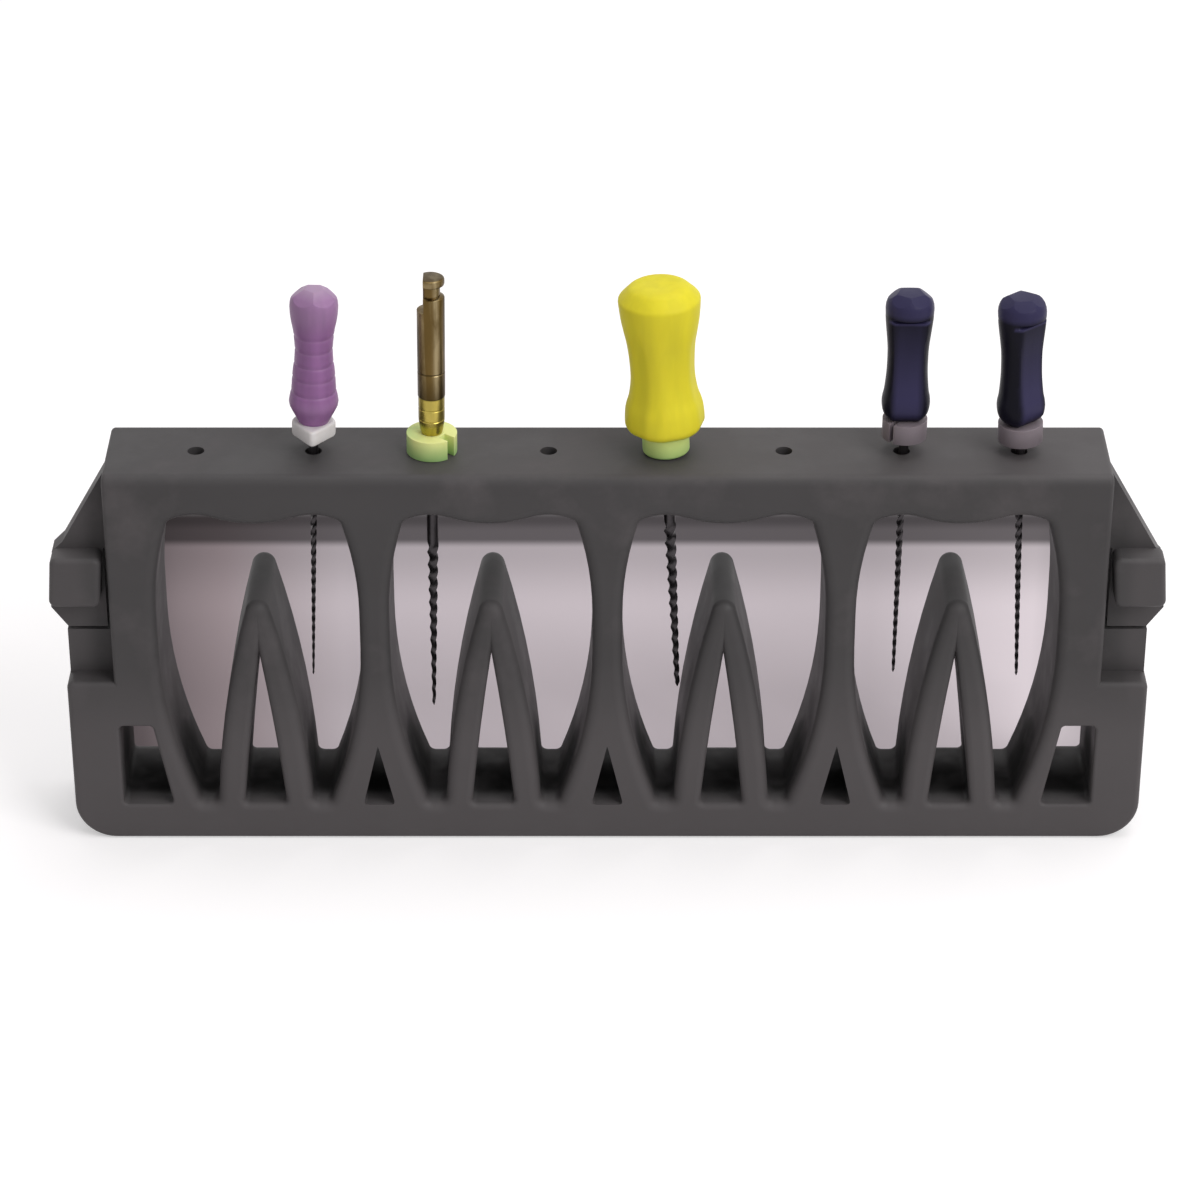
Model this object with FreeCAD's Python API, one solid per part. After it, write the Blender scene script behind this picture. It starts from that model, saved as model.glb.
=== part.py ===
import FreeCAD, Part
import math
import os

# Root canal file holder: a moulded stand with eight holes in its shelf, four molar shaped
# windows below them, and five files hanging in the holes.
# Millimetres, +Z up, +X to the right, front towards -Y, origin at the middle of the underside.

# Holder, outer form
DEPTH = 10.0
HEIGHT = 36.0
PANEL_MARGIN = 2.65
FOOT_STEP = 4.1
LEDGE_HEIGHT = 15.9
FOOT_CORNER_RADIUS = 3.5
SHELF_EDGE_RADIUS = 0.9
PANEL_END_RADIUS = 0.4
FOOT_EDGE_RADIUS = 0.5

# Holes in the shelf
HOLE_COUNT = 8
HOLE_PITCH = 10.0
HOLE_DIAMETER = 1.45

# Molar windows, one for each pair of holes
SILL_HEIGHT = 3.5
WINDOW_WIDTH = 17.4
WINDOW_WIDEST_LOW = 19.0
WINDOW_WIDEST_HIGH = 22.5
CROWN_SIDE_RADIUS = 30.0
ROOT_SIDE_RADIUS = 42.0
CROWN_TOP = 32.15
CROWN_DIP = 0.85
CUSP_RADIUS = 4.5
CROWN_CORNER_RADIUS = 0.8
ROOT_CORNER_RADIUS = 0.6
WINDOW_EDGE_RADIUS = 0.95

# Forked rib between the two roots of a window
FORK_TIP_HEIGHT = 23.9
FORK_TIP_RADIUS = 1.05
FORK_TIP_HALF_ANGLE = 17.0
FORK_MID_HEIGHT = 13.0
FORK_MID_HALF = 3.15
FORK_FOOT_HALF = 4.15
FORK_LEG = 2.3
FORK_ARCH_TOP = 18.7
FORK_ARCH_MID = 10.8
FORK_ARCH_MID_HALF = 1.07
FORK_ARCH_EDGE_RADIUS = 0.6
SMALL_CORNER_RADIUS = 0.4
SMALL_EDGE_RADIUS = 0.3

# Openings between the teeth and in the foot's ends
GAP_TOP = 9.6
GAP_HALF = 1.4
END_OPENING_TOP = 11.5
END_OPENING_WALL = 0.2
END_RIB_TOP = 2.9
END_RIB_FOOT = 4.4

# Side tabs: a thin arm hanging from the top, free at its lower end, with a block on its front.
# The reaches count from the end of the panel.
TAB_THICKNESS = 2.0
TAB_SET_BACK = 2.2
TAB_REACH = 4.8
TAB_SPLAY = 0.35
TAB_ROOT = 1.0
TAB_TOP = 35.5
TAB_SHOULDERS = {-1: {"reach": 3.85, "height": 28.75}, 1: {"reach": 4.65, "height": 27.3}}
BLOCK_TOP = 28.1
BLOCK_BOTTOM = 23.4
BLOCK_CORNER_RADIUS = 0.6
BLOCK_EDGE_RADIUS = 0.45
TAB_TIP_TOP = 22.3
TAB_TIP_REACH = 3.85
TAB_TIP = 20.4
TAB_SLOT = 0.45
TAB_TIP_SLOT = 0.3
STUB_INSET = 0.15

# Files: places and lean of each, from the hole that holds it
LEAN_HEIGHT = 34.0
WORKING_LENGTH = 16.0
BORE_INTERFERENCE = 0.01
STOP_CLEARANCE = 0.03
STOP_EDGE_RADIUS = 0.25
STOP_SLOT_DEPTH = 1.1
STOP_GAP = 0.02
STOP_POINT_ROUNDING = 0.5
SHANK_SEAT_DEPTH = 4.0
SECTION_TURN = 45.0

PURPLE = {
    "name": "purple", "hole": 2, "lean": 2.0, "shift": -0.05, "stop_lift": 1.45, "length": 25.0,
    "shaft_radius": 0.40, "tip_width": 0.14, "top_width": 0.56, "sides": 4, "bump": 0.94,
    "stop_radius": 2.0, "stop_height": 1.5, "facet_turn": 20.0,
}
GOLD = {
    "name": "gold", "hole": 3, "lean": 0.7, "shift": 0.05, "stop_lift": 0.03, "length": 27.0,
    "shaft_radius": 0.50, "tip_width": 0.28, "top_width": 1.00, "sides": 3, "bump": 1.25,
    "stop_radius": 2.15, "stop_height": 1.8, "slot_width": 0.85, "slot_turn": -38.0,
}
YELLOW = {
    "name": "yellow", "hole": 5, "lean": -2.8, "shift": 0.1, "stop_lift": 0.1, "length": 25.0,
    "shaft_radius": 0.52, "tip_width": 0.50, "top_width": 1.08, "sides": 3, "bump": 1.2,
    "stop_radius": 2.0, "stop_height": 1.8, "flat_turn": 15.0, "facet_turn": 10.0,
}
NAVY_LEFT = {
    "name": "navy_left", "hole": 7, "lean": 0.3, "shift": 0.15, "stop_lift": 1.4, "length": 25.0,
    "shaft_radius": 0.42, "tip_width": 0.30, "top_width": 0.66, "sides": 4, "bump": 1.0,
    "stop_radius": 1.9, "stop_height": 1.8, "slot_width": 0.4, "slot_turn": 230.0,
    "flat_turn": -90.0, "facet_turn": -72.0,
}
NAVY_RIGHT = {
    "name": "navy_right", "hole": 8, "lean": -2.0, "shift": 0.15, "stop_lift": 1.05, "length": 25.0,
    "shaft_radius": 0.42, "tip_width": 0.30, "top_width": 0.66, "sides": 4, "bump": 1.0,
    "stop_radius": 1.9, "stop_height": 1.8, "slot_width": 0.4, "slot_turn": 60.0,
    "flat_turn": -52.0, "facet_turn": -34.0,
}

# Grips, as radii and heights above the grip's lower end
SLIM_GRIP = {
    "neck": 1.3, "bulge": 2.1, "bulge_at": 1.8, "waist": 1.61, "waist_at": 6.5,
    "head": 2.04, "head_at": 10.6, "top": 12.35, "crown": 1.15, "facets": 5, "facet_cut": 0.92,
}
BIG_GRIP = {
    "neck": 2.2, "bulge": 3.38, "bulge_at": 1.5, "waist": 2.74, "waist_at": 5.7,
    "head": 3.45, "head_at": 12.0, "top": 13.9, "crown": 2.1, "facets": 6, "facet_cut": 0.93,
}
FLAT_GRIP = {
    "neck": 1.3, "bulge": 2.06, "bulge_at": 1.4, "waist": 1.72, "waist_at": 5.5,
    "head": 2.05, "head_at": 10.3, "top": 12.0, "crown": 1.0, "facets": 5, "facet_cut": 0.9,
}
CROWN_SHOULDER = 50.0
CROWN_FACET_SLOPE = 32.0
CROWN_FACET_START = 0.45
RING_COUNT = 5
RING_PITCH = 1.3
RING_FIRST = 2.9
RING_RADIUS = 0.12
RING_DEPTH = 0.05
FLAT_COUNT = 2
FLAT_DEPTH = 0.6
FLAT_TOP = 9.7
BIG_FLAT_COUNT = 6
BIG_FLAT_DEPTH = 0.14
BIG_FLAT_TOP = 11.0

# Latch shank of the engine file, heights above its lower end
LATCH_RADIUS = 1.175
LATCH_LENGTH = 14.5
LATCH_HEAD = 0.75
LATCH_GROOVE = 0.95
LATCH_GROOVE_RADIUS = 0.8
LATCH_FLAT_DISTANCE = 0.62
LATCH_FLAT_LENGTH = 3.0
LATCH_EDGE = 0.2
LATCH_COLLAR_RADIUS = 1.12
LATCH_COLLAR_BOTTOM = 1.3
LATCH_COLLAR_TOP = 3.5
LATCH_FOOT_RADIUS = 0.9
LATCH_LINE_HEIGHT = 5.8
LATCH_LINE_DEPTH = 0.06

# Small lengths for the work itself: how far pieces run into each other, and what counts as touching
OVERLAP = 0.1
TOUCH = 1e-3

# Worked out from the sizes above
TOOTH_PITCH = 2 * HOLE_PITCH
TOOTH_COUNT = HOLE_COUNT // 2
PANEL_HALF = HOLE_COUNT * HOLE_PITCH / 2 + PANEL_MARGIN
FOOT_HALF = PANEL_HALF + FOOT_STEP
WINDOW_HALF = WINDOW_WIDTH / 2
CUSP_OFFSET = HOLE_PITCH / 2
FORK_ARCH_FOOT_HALF = FORK_FOOT_HALF - FORK_LEG
FOOT_TOP_CORNER_RADIUS = FOOT_EDGE_RADIUS + OVERLAP
THROUGH = 1.5 * DEPTH


def point(x, z, y=0.0):
    return FreeCAD.Vector(x, y, z)


def line(a, b):
    return Part.LineSegment(a, b).toShape()


def arc(a, middle, b):
    return Part.Arc(a, middle, b).toShape()


def slab(edges, thickness, middle=0.0):
    """Solid of a closed front-view outline, with its thickness along Y."""
    wire = Part.Wire(Part.__sortEdges__(edges))
    face = Part.Face(wire)
    solid = face.extrude(FreeCAD.Vector(0, thickness, 0))
    solid.translate(FreeCAD.Vector(0, middle - thickness / 2, 0))
    return solid


def polygon(corners):
    return [line(corners[i - 1], corners[i]) for i in range(len(corners))]


def box(x0, x1, y0, y1, z0, z1):
    return Part.makeBox(x1 - x0, y1 - y0, z1 - z0, FreeCAD.Vector(x0, y0, z0))


def edges_along(shape, axis):
    """Straight edges of a shape that run along the given axis."""
    found = []
    for edge in shape.Edges:
        if edge.Curve.TypeId != "Part::GeomLine":
            continue
        way = edge.Vertexes[-1].Point - edge.Vertexes[0].Point
        way.normalize()
        if abs(abs(way.dot(axis)) - 1) < TOUCH:
            found.append(edge)
    return found


def edges_on_plane(shape, axis, value):
    """Edges that lie wholly on the plane where the axis coordinate has the value."""
    found = []
    for edge in shape.Edges:
        ends = edge.BoundBox
        low = FreeCAD.Vector(ends.XMin, ends.YMin, ends.ZMin).dot(axis)
        high = FreeCAD.Vector(ends.XMax, ends.YMax, ends.ZMax).dot(axis)
        if abs(low - value) < TOUCH and abs(high - value) < TOUCH:
            found.append(edge)
    return found


AXIS_X = FreeCAD.Vector(1, 0, 0)
AXIS_Y = FreeCAD.Vector(0, 1, 0)
AXIS_Z = FreeCAD.Vector(0, 0, 1)


def arc_side(half, level, radius, z):
    """Half width at height z of a side that bulges to half at the given level."""
    return half - radius + math.sqrt(radius ** 2 - (z - level) ** 2)


def round_corners(solid, corners, radius):
    """Fillet the Y edges of a slab that stand at the given front-view corners."""
    chosen = []
    for edge in edges_along(solid, AXIS_Y):
        spot = edge.Vertexes[0].Point
        for x, z in corners:
            if math.hypot(spot.x - x, spot.z - z) < TOUCH:
                chosen.append(edge)
    return solid.makeFillet(radius, chosen)


def tooth_window():
    """Cutter for one molar window: crown with two cusps, bulging sides and two roots."""
    cusp_centre = CROWN_TOP - CUSP_RADIUS
    dip_bottom = CROWN_TOP - CROWN_DIP
    radii_sum = (CUSP_OFFSET ** 2 + CROWN_DIP ** 2) / (2 * CROWN_DIP)
    dip_radius = radii_sum - CUSP_RADIUS
    dip_centre = dip_bottom + dip_radius
    share = dip_radius / radii_sum
    join_x = CUSP_OFFSET * share
    join_z = dip_centre + (cusp_centre - dip_centre) * share

    # The cusp's arc ends where it meets the side of the crown
    crown_z = CROWN_TOP
    for _ in range(60):
        crown_x = arc_side(WINDOW_HALF, WINDOW_WIDEST_HIGH, CROWN_SIDE_RADIUS, crown_z)
        crown_z = cusp_centre + math.sqrt(CUSP_RADIUS ** 2 - (crown_x - CUSP_OFFSET) ** 2)
    foot_x = arc_side(WINDOW_HALF, WINDOW_WIDEST_LOW, ROOT_SIDE_RADIUS, SILL_HEIGHT)

    # The fork's sides run on to a sharp tip, and its rounding brings the tip down
    sharp_tip = FORK_TIP_HEIGHT + FORK_TIP_RADIUS * (1 / math.sin(math.radians(FORK_TIP_HALF_ANGLE)) - 1)

    edges = []
    for side in (-1, 1):
        mid_dip = point(side * dip_radius * math.sin(math.asin(join_x / dip_radius) / 2),
                        dip_centre - dip_radius * math.cos(math.asin(join_x / dip_radius) / 2))
        edges.append(arc(point(0, dip_bottom), mid_dip, point(side * join_x, join_z)))
        edges.append(arc(point(side * join_x, join_z), point(side * CUSP_OFFSET, CROWN_TOP),
                         point(side * crown_x, crown_z)))
        mid_z = (crown_z + WINDOW_WIDEST_HIGH) / 2
        mid_x = arc_side(WINDOW_HALF, WINDOW_WIDEST_HIGH, CROWN_SIDE_RADIUS, mid_z)
        edges.append(arc(point(side * crown_x, crown_z), point(side * mid_x, mid_z),
                         point(side * WINDOW_HALF, WINDOW_WIDEST_HIGH)))
        edges.append(line(point(side * WINDOW_HALF, WINDOW_WIDEST_HIGH),
                          point(side * WINDOW_HALF, WINDOW_WIDEST_LOW)))
        mid_z = (SILL_HEIGHT + WINDOW_WIDEST_LOW) / 2
        mid_x = arc_side(WINDOW_HALF, WINDOW_WIDEST_LOW, ROOT_SIDE_RADIUS, mid_z)
        edges.append(arc(point(side * WINDOW_HALF, WINDOW_WIDEST_LOW), point(side * mid_x, mid_z),
                         point(side * foot_x, SILL_HEIGHT)))
        edges.append(line(point(side * foot_x, SILL_HEIGHT), point(side * FORK_FOOT_HALF, SILL_HEIGHT)))
        edges.append(arc(point(side * FORK_FOOT_HALF, SILL_HEIGHT),
                         point(side * FORK_MID_HALF, FORK_MID_HEIGHT), point(0, sharp_tip)))
    cutter = slab(edges, THROUGH)
    cutter = round_corners(cutter, [(crown_x, crown_z), (-crown_x, crown_z)], CROWN_CORNER_RADIUS)
    feet = [(side * x, SILL_HEIGHT) for side in (-1, 1) for x in (foot_x, FORK_FOOT_HALF)]
    cutter = round_corners(cutter, feet, ROOT_CORNER_RADIUS)
    return round_corners(cutter, [(0, sharp_tip)], FORK_TIP_RADIUS)


def fork_opening():
    """Cutter for the pointed arch inside the forked rib."""
    edges = [line(point(-FORK_ARCH_FOOT_HALF, SILL_HEIGHT), point(FORK_ARCH_FOOT_HALF, SILL_HEIGHT))]
    for side in (-1, 1):
        edges.append(arc(point(side * FORK_ARCH_FOOT_HALF, SILL_HEIGHT),
                         point(side * FORK_ARCH_MID_HALF, FORK_ARCH_MID), point(0, FORK_ARCH_TOP)))
    cutter = slab(edges, THROUGH)
    feet = [(side * FORK_ARCH_FOOT_HALF, SILL_HEIGHT) for side in (-1, 1)]
    return round_corners(cutter, feet, SMALL_CORNER_RADIUS)


def gap_opening():
    """Cutter for the small triangle between two teeth."""
    corners = [point(-GAP_HALF, SILL_HEIGHT), point(GAP_HALF, SILL_HEIGHT), point(0, GAP_TOP)]
    cutter = slab(polygon(corners), THROUGH)
    return round_corners(cutter, [(-GAP_HALF, SILL_HEIGHT), (GAP_HALF, SILL_HEIGHT)], SMALL_EDGE_RADIUS)


def end_opening(side):
    """Cutter for the four-sided opening beside the outermost root."""
    outer = PANEL_HALF - END_OPENING_WALL
    corners = [(outer, SILL_HEIGHT), (outer, END_OPENING_TOP),
               (outer - END_RIB_TOP, END_OPENING_TOP), (outer - END_RIB_FOOT, SILL_HEIGHT)]
    corners = [(side * x, z) for x, z in corners]
    cutter = slab(polygon([point(x, z) for x, z in corners]), THROUGH)
    return round_corners(cutter, corners, SMALL_CORNER_RADIUS)


def outer_form():
    """Shelf and panel on a wider foot, with their outer edges rounded."""
    panel = box(-PANEL_HALF, PANEL_HALF, -DEPTH / 2, DEPTH / 2, 0, HEIGHT)
    rims = [edge for edge in edges_on_plane(panel, AXIS_Z, HEIGHT) if edge.BoundBox.XLength > PANEL_HALF]
    panel = panel.makeFillet(SHELF_EDGE_RADIUS, rims)
    ends = edges_on_plane(panel, AXIS_X, -PANEL_HALF) + edges_on_plane(panel, AXIS_X, PANEL_HALF)
    panel = panel.makeFillet(PANEL_END_RADIUS, ends)
    foot = box(-FOOT_HALF, FOOT_HALF, -DEPTH / 2, DEPTH / 2, 0, LEDGE_HEIGHT)
    foot = round_corners(foot, [(-FOOT_HALF, 0), (FOOT_HALF, 0)], FOOT_CORNER_RADIUS)
    tops = [(-FOOT_HALF, LEDGE_HEIGHT), (FOOT_HALF, LEDGE_HEIGHT)]
    foot = round_corners(foot, tops, FOOT_TOP_CORNER_RADIUS)
    faces = edges_on_plane(foot, AXIS_Y, -DEPTH / 2) + edges_on_plane(foot, AXIS_Y, DEPTH / 2)
    foot = foot.makeFillet(FOOT_EDGE_RADIUS, faces)
    panel = panel.cut(box(-PANEL_HALF, PANEL_HALF, -DEPTH, DEPTH, 0, SILL_HEIGHT / 2))
    return panel.fuse(foot).removeSplitter()


def round_window_edges(body, cutter, radius):
    """Fillet the front and back edges that a cutter left in the body."""
    chosen = []
    for level in (-DEPTH / 2, DEPTH / 2):
        for edge in edges_on_plane(body, AXIS_Y, level):
            middle = edge.valueAt((edge.FirstParameter + edge.LastParameter) / 2)
            if cutter.distToShape(Part.Vertex(middle))[0] < TOUCH:
                chosen.append(edge)
    return body.makeFillet(radius, chosen)


def side_tab(side):
    """Arm with its slanted back and grip block, and the short wall below its free end."""
    inner = PANEL_HALF + TAB_SLOT
    root = PANEL_HALF - TAB_ROOT
    outer_top = PANEL_HALF + TAB_REACH
    outer_low = outer_top + TAB_SPLAY
    splay = TAB_SPLAY / (BLOCK_TOP - BLOCK_BOTTOM)
    shoulder_x = PANEL_HALF + TAB_SHOULDERS[side]["reach"]
    shoulder_z = TAB_SHOULDERS[side]["height"]
    drop = (outer_top + splay * (BLOCK_TOP - shoulder_z) - shoulder_x) / (1 - splay)
    corners = [(root, TAB_TOP), (PANEL_HALF, TAB_TOP), (shoulder_x, shoulder_z),
               (shoulder_x + drop, shoulder_z - drop),
               (outer_low + splay * (BLOCK_BOTTOM - TAB_TIP_TOP), TAB_TIP_TOP),
               (PANEL_HALF + TAB_TIP_REACH, TAB_TIP), (inner, TAB_TIP), (inner, BLOCK_TOP), (root, BLOCK_TOP)]
    middle = -DEPTH / 2 + TAB_SET_BACK + TAB_THICKNESS / 2
    arm = slab(polygon([point(side * x, z) for x, z in corners]), TAB_THICKNESS, middle)
    corners = [(side * x, z) for x, z in ((inner, BLOCK_TOP), (outer_top, BLOCK_TOP),
                                          (outer_low, BLOCK_BOTTOM), (inner + TAB_SPLAY, BLOCK_BOTTOM))]
    depth = TAB_SET_BACK + OVERLAP
    block = slab(polygon([point(x, z) for x, z in corners]), depth, (depth - DEPTH) / 2)
    block = round_corners(block, corners, BLOCK_CORNER_RADIUS)
    block = block.makeFillet(BLOCK_EDGE_RADIUS, edges_on_plane(block, AXIS_Y, -DEPTH / 2))
    wall_top = TAB_TIP - TAB_TIP_SLOT
    wall_low = LEDGE_HEIGHT - TAB_ROOT
    wall_end = FOOT_HALF - STUB_INSET
    wall = [(root, wall_low), (wall_end, wall_low), (wall_end, wall_top), (root, wall_top)]
    stub = slab(polygon([point(side * x, z) for x, z in wall]), TAB_THICKNESS, middle)
    return arm.fuse(block), stub


def hole_x(number):
    return (number - (HOLE_COUNT + 1) / 2) * HOLE_PITCH


def holder_body():
    body = outer_form()
    for tooth in range(TOOTH_COUNT):
        middle = FreeCAD.Vector((tooth - (TOOTH_COUNT - 1) / 2) * TOOTH_PITCH, 0, 0)
        cutter = tooth_window()
        cutter.translate(middle)
        body = body.cut(cutter)
        body = round_window_edges(body, cutter, WINDOW_EDGE_RADIUS)
        cutter = fork_opening()
        cutter.translate(middle)
        body = body.cut(cutter)
        body = round_window_edges(body, cutter, FORK_ARCH_EDGE_RADIUS)
        if tooth < TOOTH_COUNT - 1:
            cutter = gap_opening()
            cutter.translate(middle + FreeCAD.Vector(TOOTH_PITCH / 2, 0, 0))
            body = body.cut(cutter)
    for side in (-1, 1):
        cutter = end_opening(side)
        body = body.cut(cutter)
        body = round_window_edges(body, cutter, SMALL_EDGE_RADIUS)
        arm, stub = side_tab(side)
        body = body.fuse([arm, stub])
    for number in range(1, HOLE_COUNT + 1):
        hole = Part.makeCylinder(HOLE_DIAMETER / 2, HEIGHT - BLOCK_TOP, FreeCAD.Vector(hole_x(number), 0, BLOCK_TOP))
        body = body.cut(hole)
    return body.removeSplitter()


def revolve(edges):
    face = Part.Face(Part.Wire(Part.__sortEdges__(edges)))
    return face.revolve(FreeCAD.Vector(0, 0, 0), AXIS_Z, 360)


def grip_side(grip, depth, head_depth):
    """Side curve of a grip through neck, bulge, waist and head, moved in by the given depths."""
    side = Part.BSplineCurve()
    knots = [point(grip["neck"] - depth, 0), point(grip["bulge"] - depth, grip["bulge_at"]),
             point(grip["waist"] - depth, grip["waist_at"]),
             point(grip["head"] - head_depth, grip["head_at"])]
    side.interpolate(Points=knots, Tangents=[FreeCAD.Vector(1, 0, 1), AXIS_Z, AXIS_Z, AXIS_Z],
                     TangentFlags=[True, True, True, True])
    return side.toShape()


def grip_blank(grip, bore):
    """Turned grip: neck, bulge, waist and head, open for the blade's shank from below."""
    over = math.radians(CROWN_SHOULDER)
    shoulder = point(grip["crown"] + (grip["head"] - grip["crown"]) * math.cos(over),
                     grip["head_at"] + (grip["top"] - grip["head_at"]) * math.sin(over))
    edges = [
        grip_side(grip, 0, 0),
        arc(point(grip["head"], grip["head_at"]), shoulder, point(grip["crown"], grip["top"])),
        line(point(grip["crown"], grip["top"]), point(0, grip["top"])),
        line(point(0, grip["top"]), point(0, SHANK_SEAT_DEPTH)),
        line(point(0, SHANK_SEAT_DEPTH), point(bore, SHANK_SEAT_DEPTH)),
        line(point(bore, SHANK_SEAT_DEPTH), point(bore, 0)),
        line(point(bore, 0), point(grip["neck"], 0)),
    ]
    return revolve(edges)


def facet_crown(solid, grip, turn):
    """Cut sloping facets round the top of a grip."""
    reach = 4 * grip["head"]
    start = grip["head"] * grip["facet_cut"]
    height = grip["head_at"] + (grip["top"] - grip["head_at"]) * CROWN_FACET_START
    for i in range(grip["facets"]):
        block = box(start, reach, -reach, reach, 0, reach)
        block.rotate(FreeCAD.Vector(start, 0, 0), AXIS_Y, -(90 - CROWN_FACET_SLOPE))
        block.translate(FreeCAD.Vector(0, 0, height))
        block.rotate(FreeCAD.Vector(0, 0, 0), AXIS_Z, turn + 360.0 * i / grip["facets"])
        solid = solid.cut(block)
    return solid


def flatten_sides(solid, grip, count, depths, top, turn):
    """Cut flats that follow the waisted side, up to the given height."""
    reach = 2 * grip["head"]
    depth, head_depth = depths
    edges = [
        grip_side(grip, depth, head_depth),
        line(point(grip["head"] - head_depth, grip["head_at"]), point(reach, grip["head_at"])),
        line(point(reach, grip["head_at"]), point(reach, 0)),
        line(point(reach, 0), point(grip["neck"] - depth, 0)),
    ]
    block = slab(edges, 2 * reach).common(box(0, 2 * reach, -reach, reach, 0, top))
    for i in range(count):
        cutter = block.copy()
        cutter.rotate(FreeCAD.Vector(0, 0, 0), AXIS_Z, turn + 360.0 * i / count)
        solid = solid.cut(cutter)
    return solid


def ring_grooves(solid, grip):
    """Shallow turned rings round the waist."""
    for i in range(RING_COUNT):
        height = RING_FIRST + RING_PITCH * i
        near = solid.slice(AXIS_Z, height)
        radius = max(wire.BoundBox.XMax for wire in near)
        ring = Part.makeTorus(radius + RING_RADIUS - RING_DEPTH, RING_RADIUS, point(0, height))
        solid = solid.cut(ring)
    return solid


def latch_shank(bore):
    """Turned brass shank with its latch groove, driving flat and crimped collar."""
    head_bottom = LATCH_LENGTH - LATCH_HEAD
    groove_bottom = head_bottom - LATCH_GROOVE
    line_low = LATCH_LINE_HEIGHT - LATCH_LINE_DEPTH
    line_high = LATCH_LINE_HEIGHT + LATCH_LINE_DEPTH
    outline = [
        (bore, 0), (LATCH_FOOT_RADIUS, 0),
        (LATCH_COLLAR_RADIUS, LATCH_COLLAR_BOTTOM), (LATCH_COLLAR_RADIUS, LATCH_COLLAR_TOP),
        (LATCH_RADIUS, LATCH_COLLAR_TOP), (LATCH_RADIUS, line_low),
        (LATCH_RADIUS - LATCH_LINE_DEPTH, LATCH_LINE_HEIGHT), (LATCH_RADIUS, line_high),
        (LATCH_RADIUS, groove_bottom - LATCH_EDGE), (LATCH_RADIUS - LATCH_EDGE, groove_bottom),
        (LATCH_GROOVE_RADIUS, groove_bottom), (LATCH_GROOVE_RADIUS, head_bottom),
        (LATCH_RADIUS - LATCH_EDGE, head_bottom), (LATCH_RADIUS, head_bottom + LATCH_EDGE),
        (LATCH_RADIUS, LATCH_LENGTH - LATCH_EDGE), (LATCH_RADIUS - LATCH_EDGE, LATCH_LENGTH),
        (0, LATCH_LENGTH), (0, SHANK_SEAT_DEPTH), (bore, SHANK_SEAT_DEPTH),
    ]
    shank = revolve(polygon([point(x, z) for x, z in outline]))
    flat = box(-2 * LATCH_RADIUS, -LATCH_FLAT_DISTANCE, -LATCH_RADIUS, LATCH_RADIUS,
               LATCH_LENGTH - LATCH_FLAT_LENGTH, LATCH_LENGTH + LATCH_RADIUS)
    return shank.cut(flat)


def blade(data):
    """Round shank with a twisted, tapering working end; its top is at the seat in the grip."""
    shaft_low = data["length"] - WORKING_LENGTH
    shaft = Part.makeCylinder(data["shaft_radius"], shaft_low + SHANK_SEAT_DEPTH, point(0, -shaft_low))
    steps_per_bump = 360.0 / data["sides"] / SECTION_TURN
    steps = int(round(WORKING_LENGTH / data["bump"] * steps_per_bump))
    sections = []
    for i in range(steps + 1):
        share = i / steps
        radius = (data["top_width"] + (data["tip_width"] - data["top_width"]) * share) / 2
        height = -shaft_low - WORKING_LENGTH * share
        sections.append(section(radius, height, SECTION_TURN * i, data["sides"]))
    fluted = Part.makeLoft(sections, True, True)
    tip = Part.makeCone(0.4 * data["tip_width"], 0.1 * data["tip_width"], 2 * data["tip_width"],
                        point(0, -data["length"]), FreeCAD.Vector(0, 0, -1))
    return shaft.fuse([fluted, tip]).removeSplitter()


def section(radius, height, turn, sides):
    """One cross-section of a twisted blade."""
    corners = []
    for i in range(sides):
        angle = math.radians(turn + 360.0 * i / sides)
        corners.append(FreeCAD.Vector(radius * math.cos(angle), radius * math.sin(angle), height))
    return Part.makePolygon(corners + corners[:1])


def round_stop(data):
    """Silicone ring on the shank, split by a slot on one side where the file has one."""
    bore = data["shaft_radius"] + STOP_CLEARANCE
    height = data["stop_height"]
    ring = Part.makeCylinder(data["stop_radius"], height, point(0, -height - STOP_GAP))
    rims = [edge for edge in ring.Edges if edge.Curve.TypeId == "Part::GeomCircle"]
    ring = ring.makeFillet(STOP_EDGE_RADIUS, rims)
    ring = ring.cut(Part.makeCylinder(bore, 3 * height, point(0, -2 * height)))
    if "slot_width" in data:
        half = data["slot_width"] / 2
        slot = box(data["stop_radius"] - STOP_SLOT_DEPTH, 2 * data["stop_radius"],
                   -half, half, -2 * height, height)
        slot.rotate(FreeCAD.Vector(0, 0, 0), AXIS_Z, data["slot_turn"])
        ring = ring.cut(slot)
    return ring


def pointed_stop(data):
    """Silicone stop with a pointed front that shows the curve of the canal."""
    bore = data["shaft_radius"] + STOP_CLEARANCE
    height = data["stop_height"]
    reach = data["stop_radius"]
    corners = [(-reach, 0), (-0.6 * reach, 0.8 * reach), (0.6 * reach, 0.8 * reach), (reach, 0),
               (0, -1.3 * reach)]
    wire = Part.makePolygon([FreeCAD.Vector(x, y, 0) for x, y in corners + corners[:1]])
    ring = Part.Face(wire).extrude(FreeCAD.Vector(0, 0, -height))
    ring = ring.makeFillet(STOP_POINT_ROUNDING, edges_along(ring, AXIS_Z))
    rims = edges_on_plane(ring, AXIS_Z, 0) + edges_on_plane(ring, AXIS_Z, -height)
    ring = ring.makeFillet(STOP_EDGE_RADIUS, rims)
    ring.translate(FreeCAD.Vector(0, 0, -STOP_GAP))
    return ring.cut(Part.makeCylinder(bore, 3 * height, point(0, -2 * height)))


def grip_base(data):
    """Height of a grip's lower end, just above its stop."""
    return HEIGHT + data["stop_lift"] + data["stop_height"] + STOP_GAP


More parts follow.
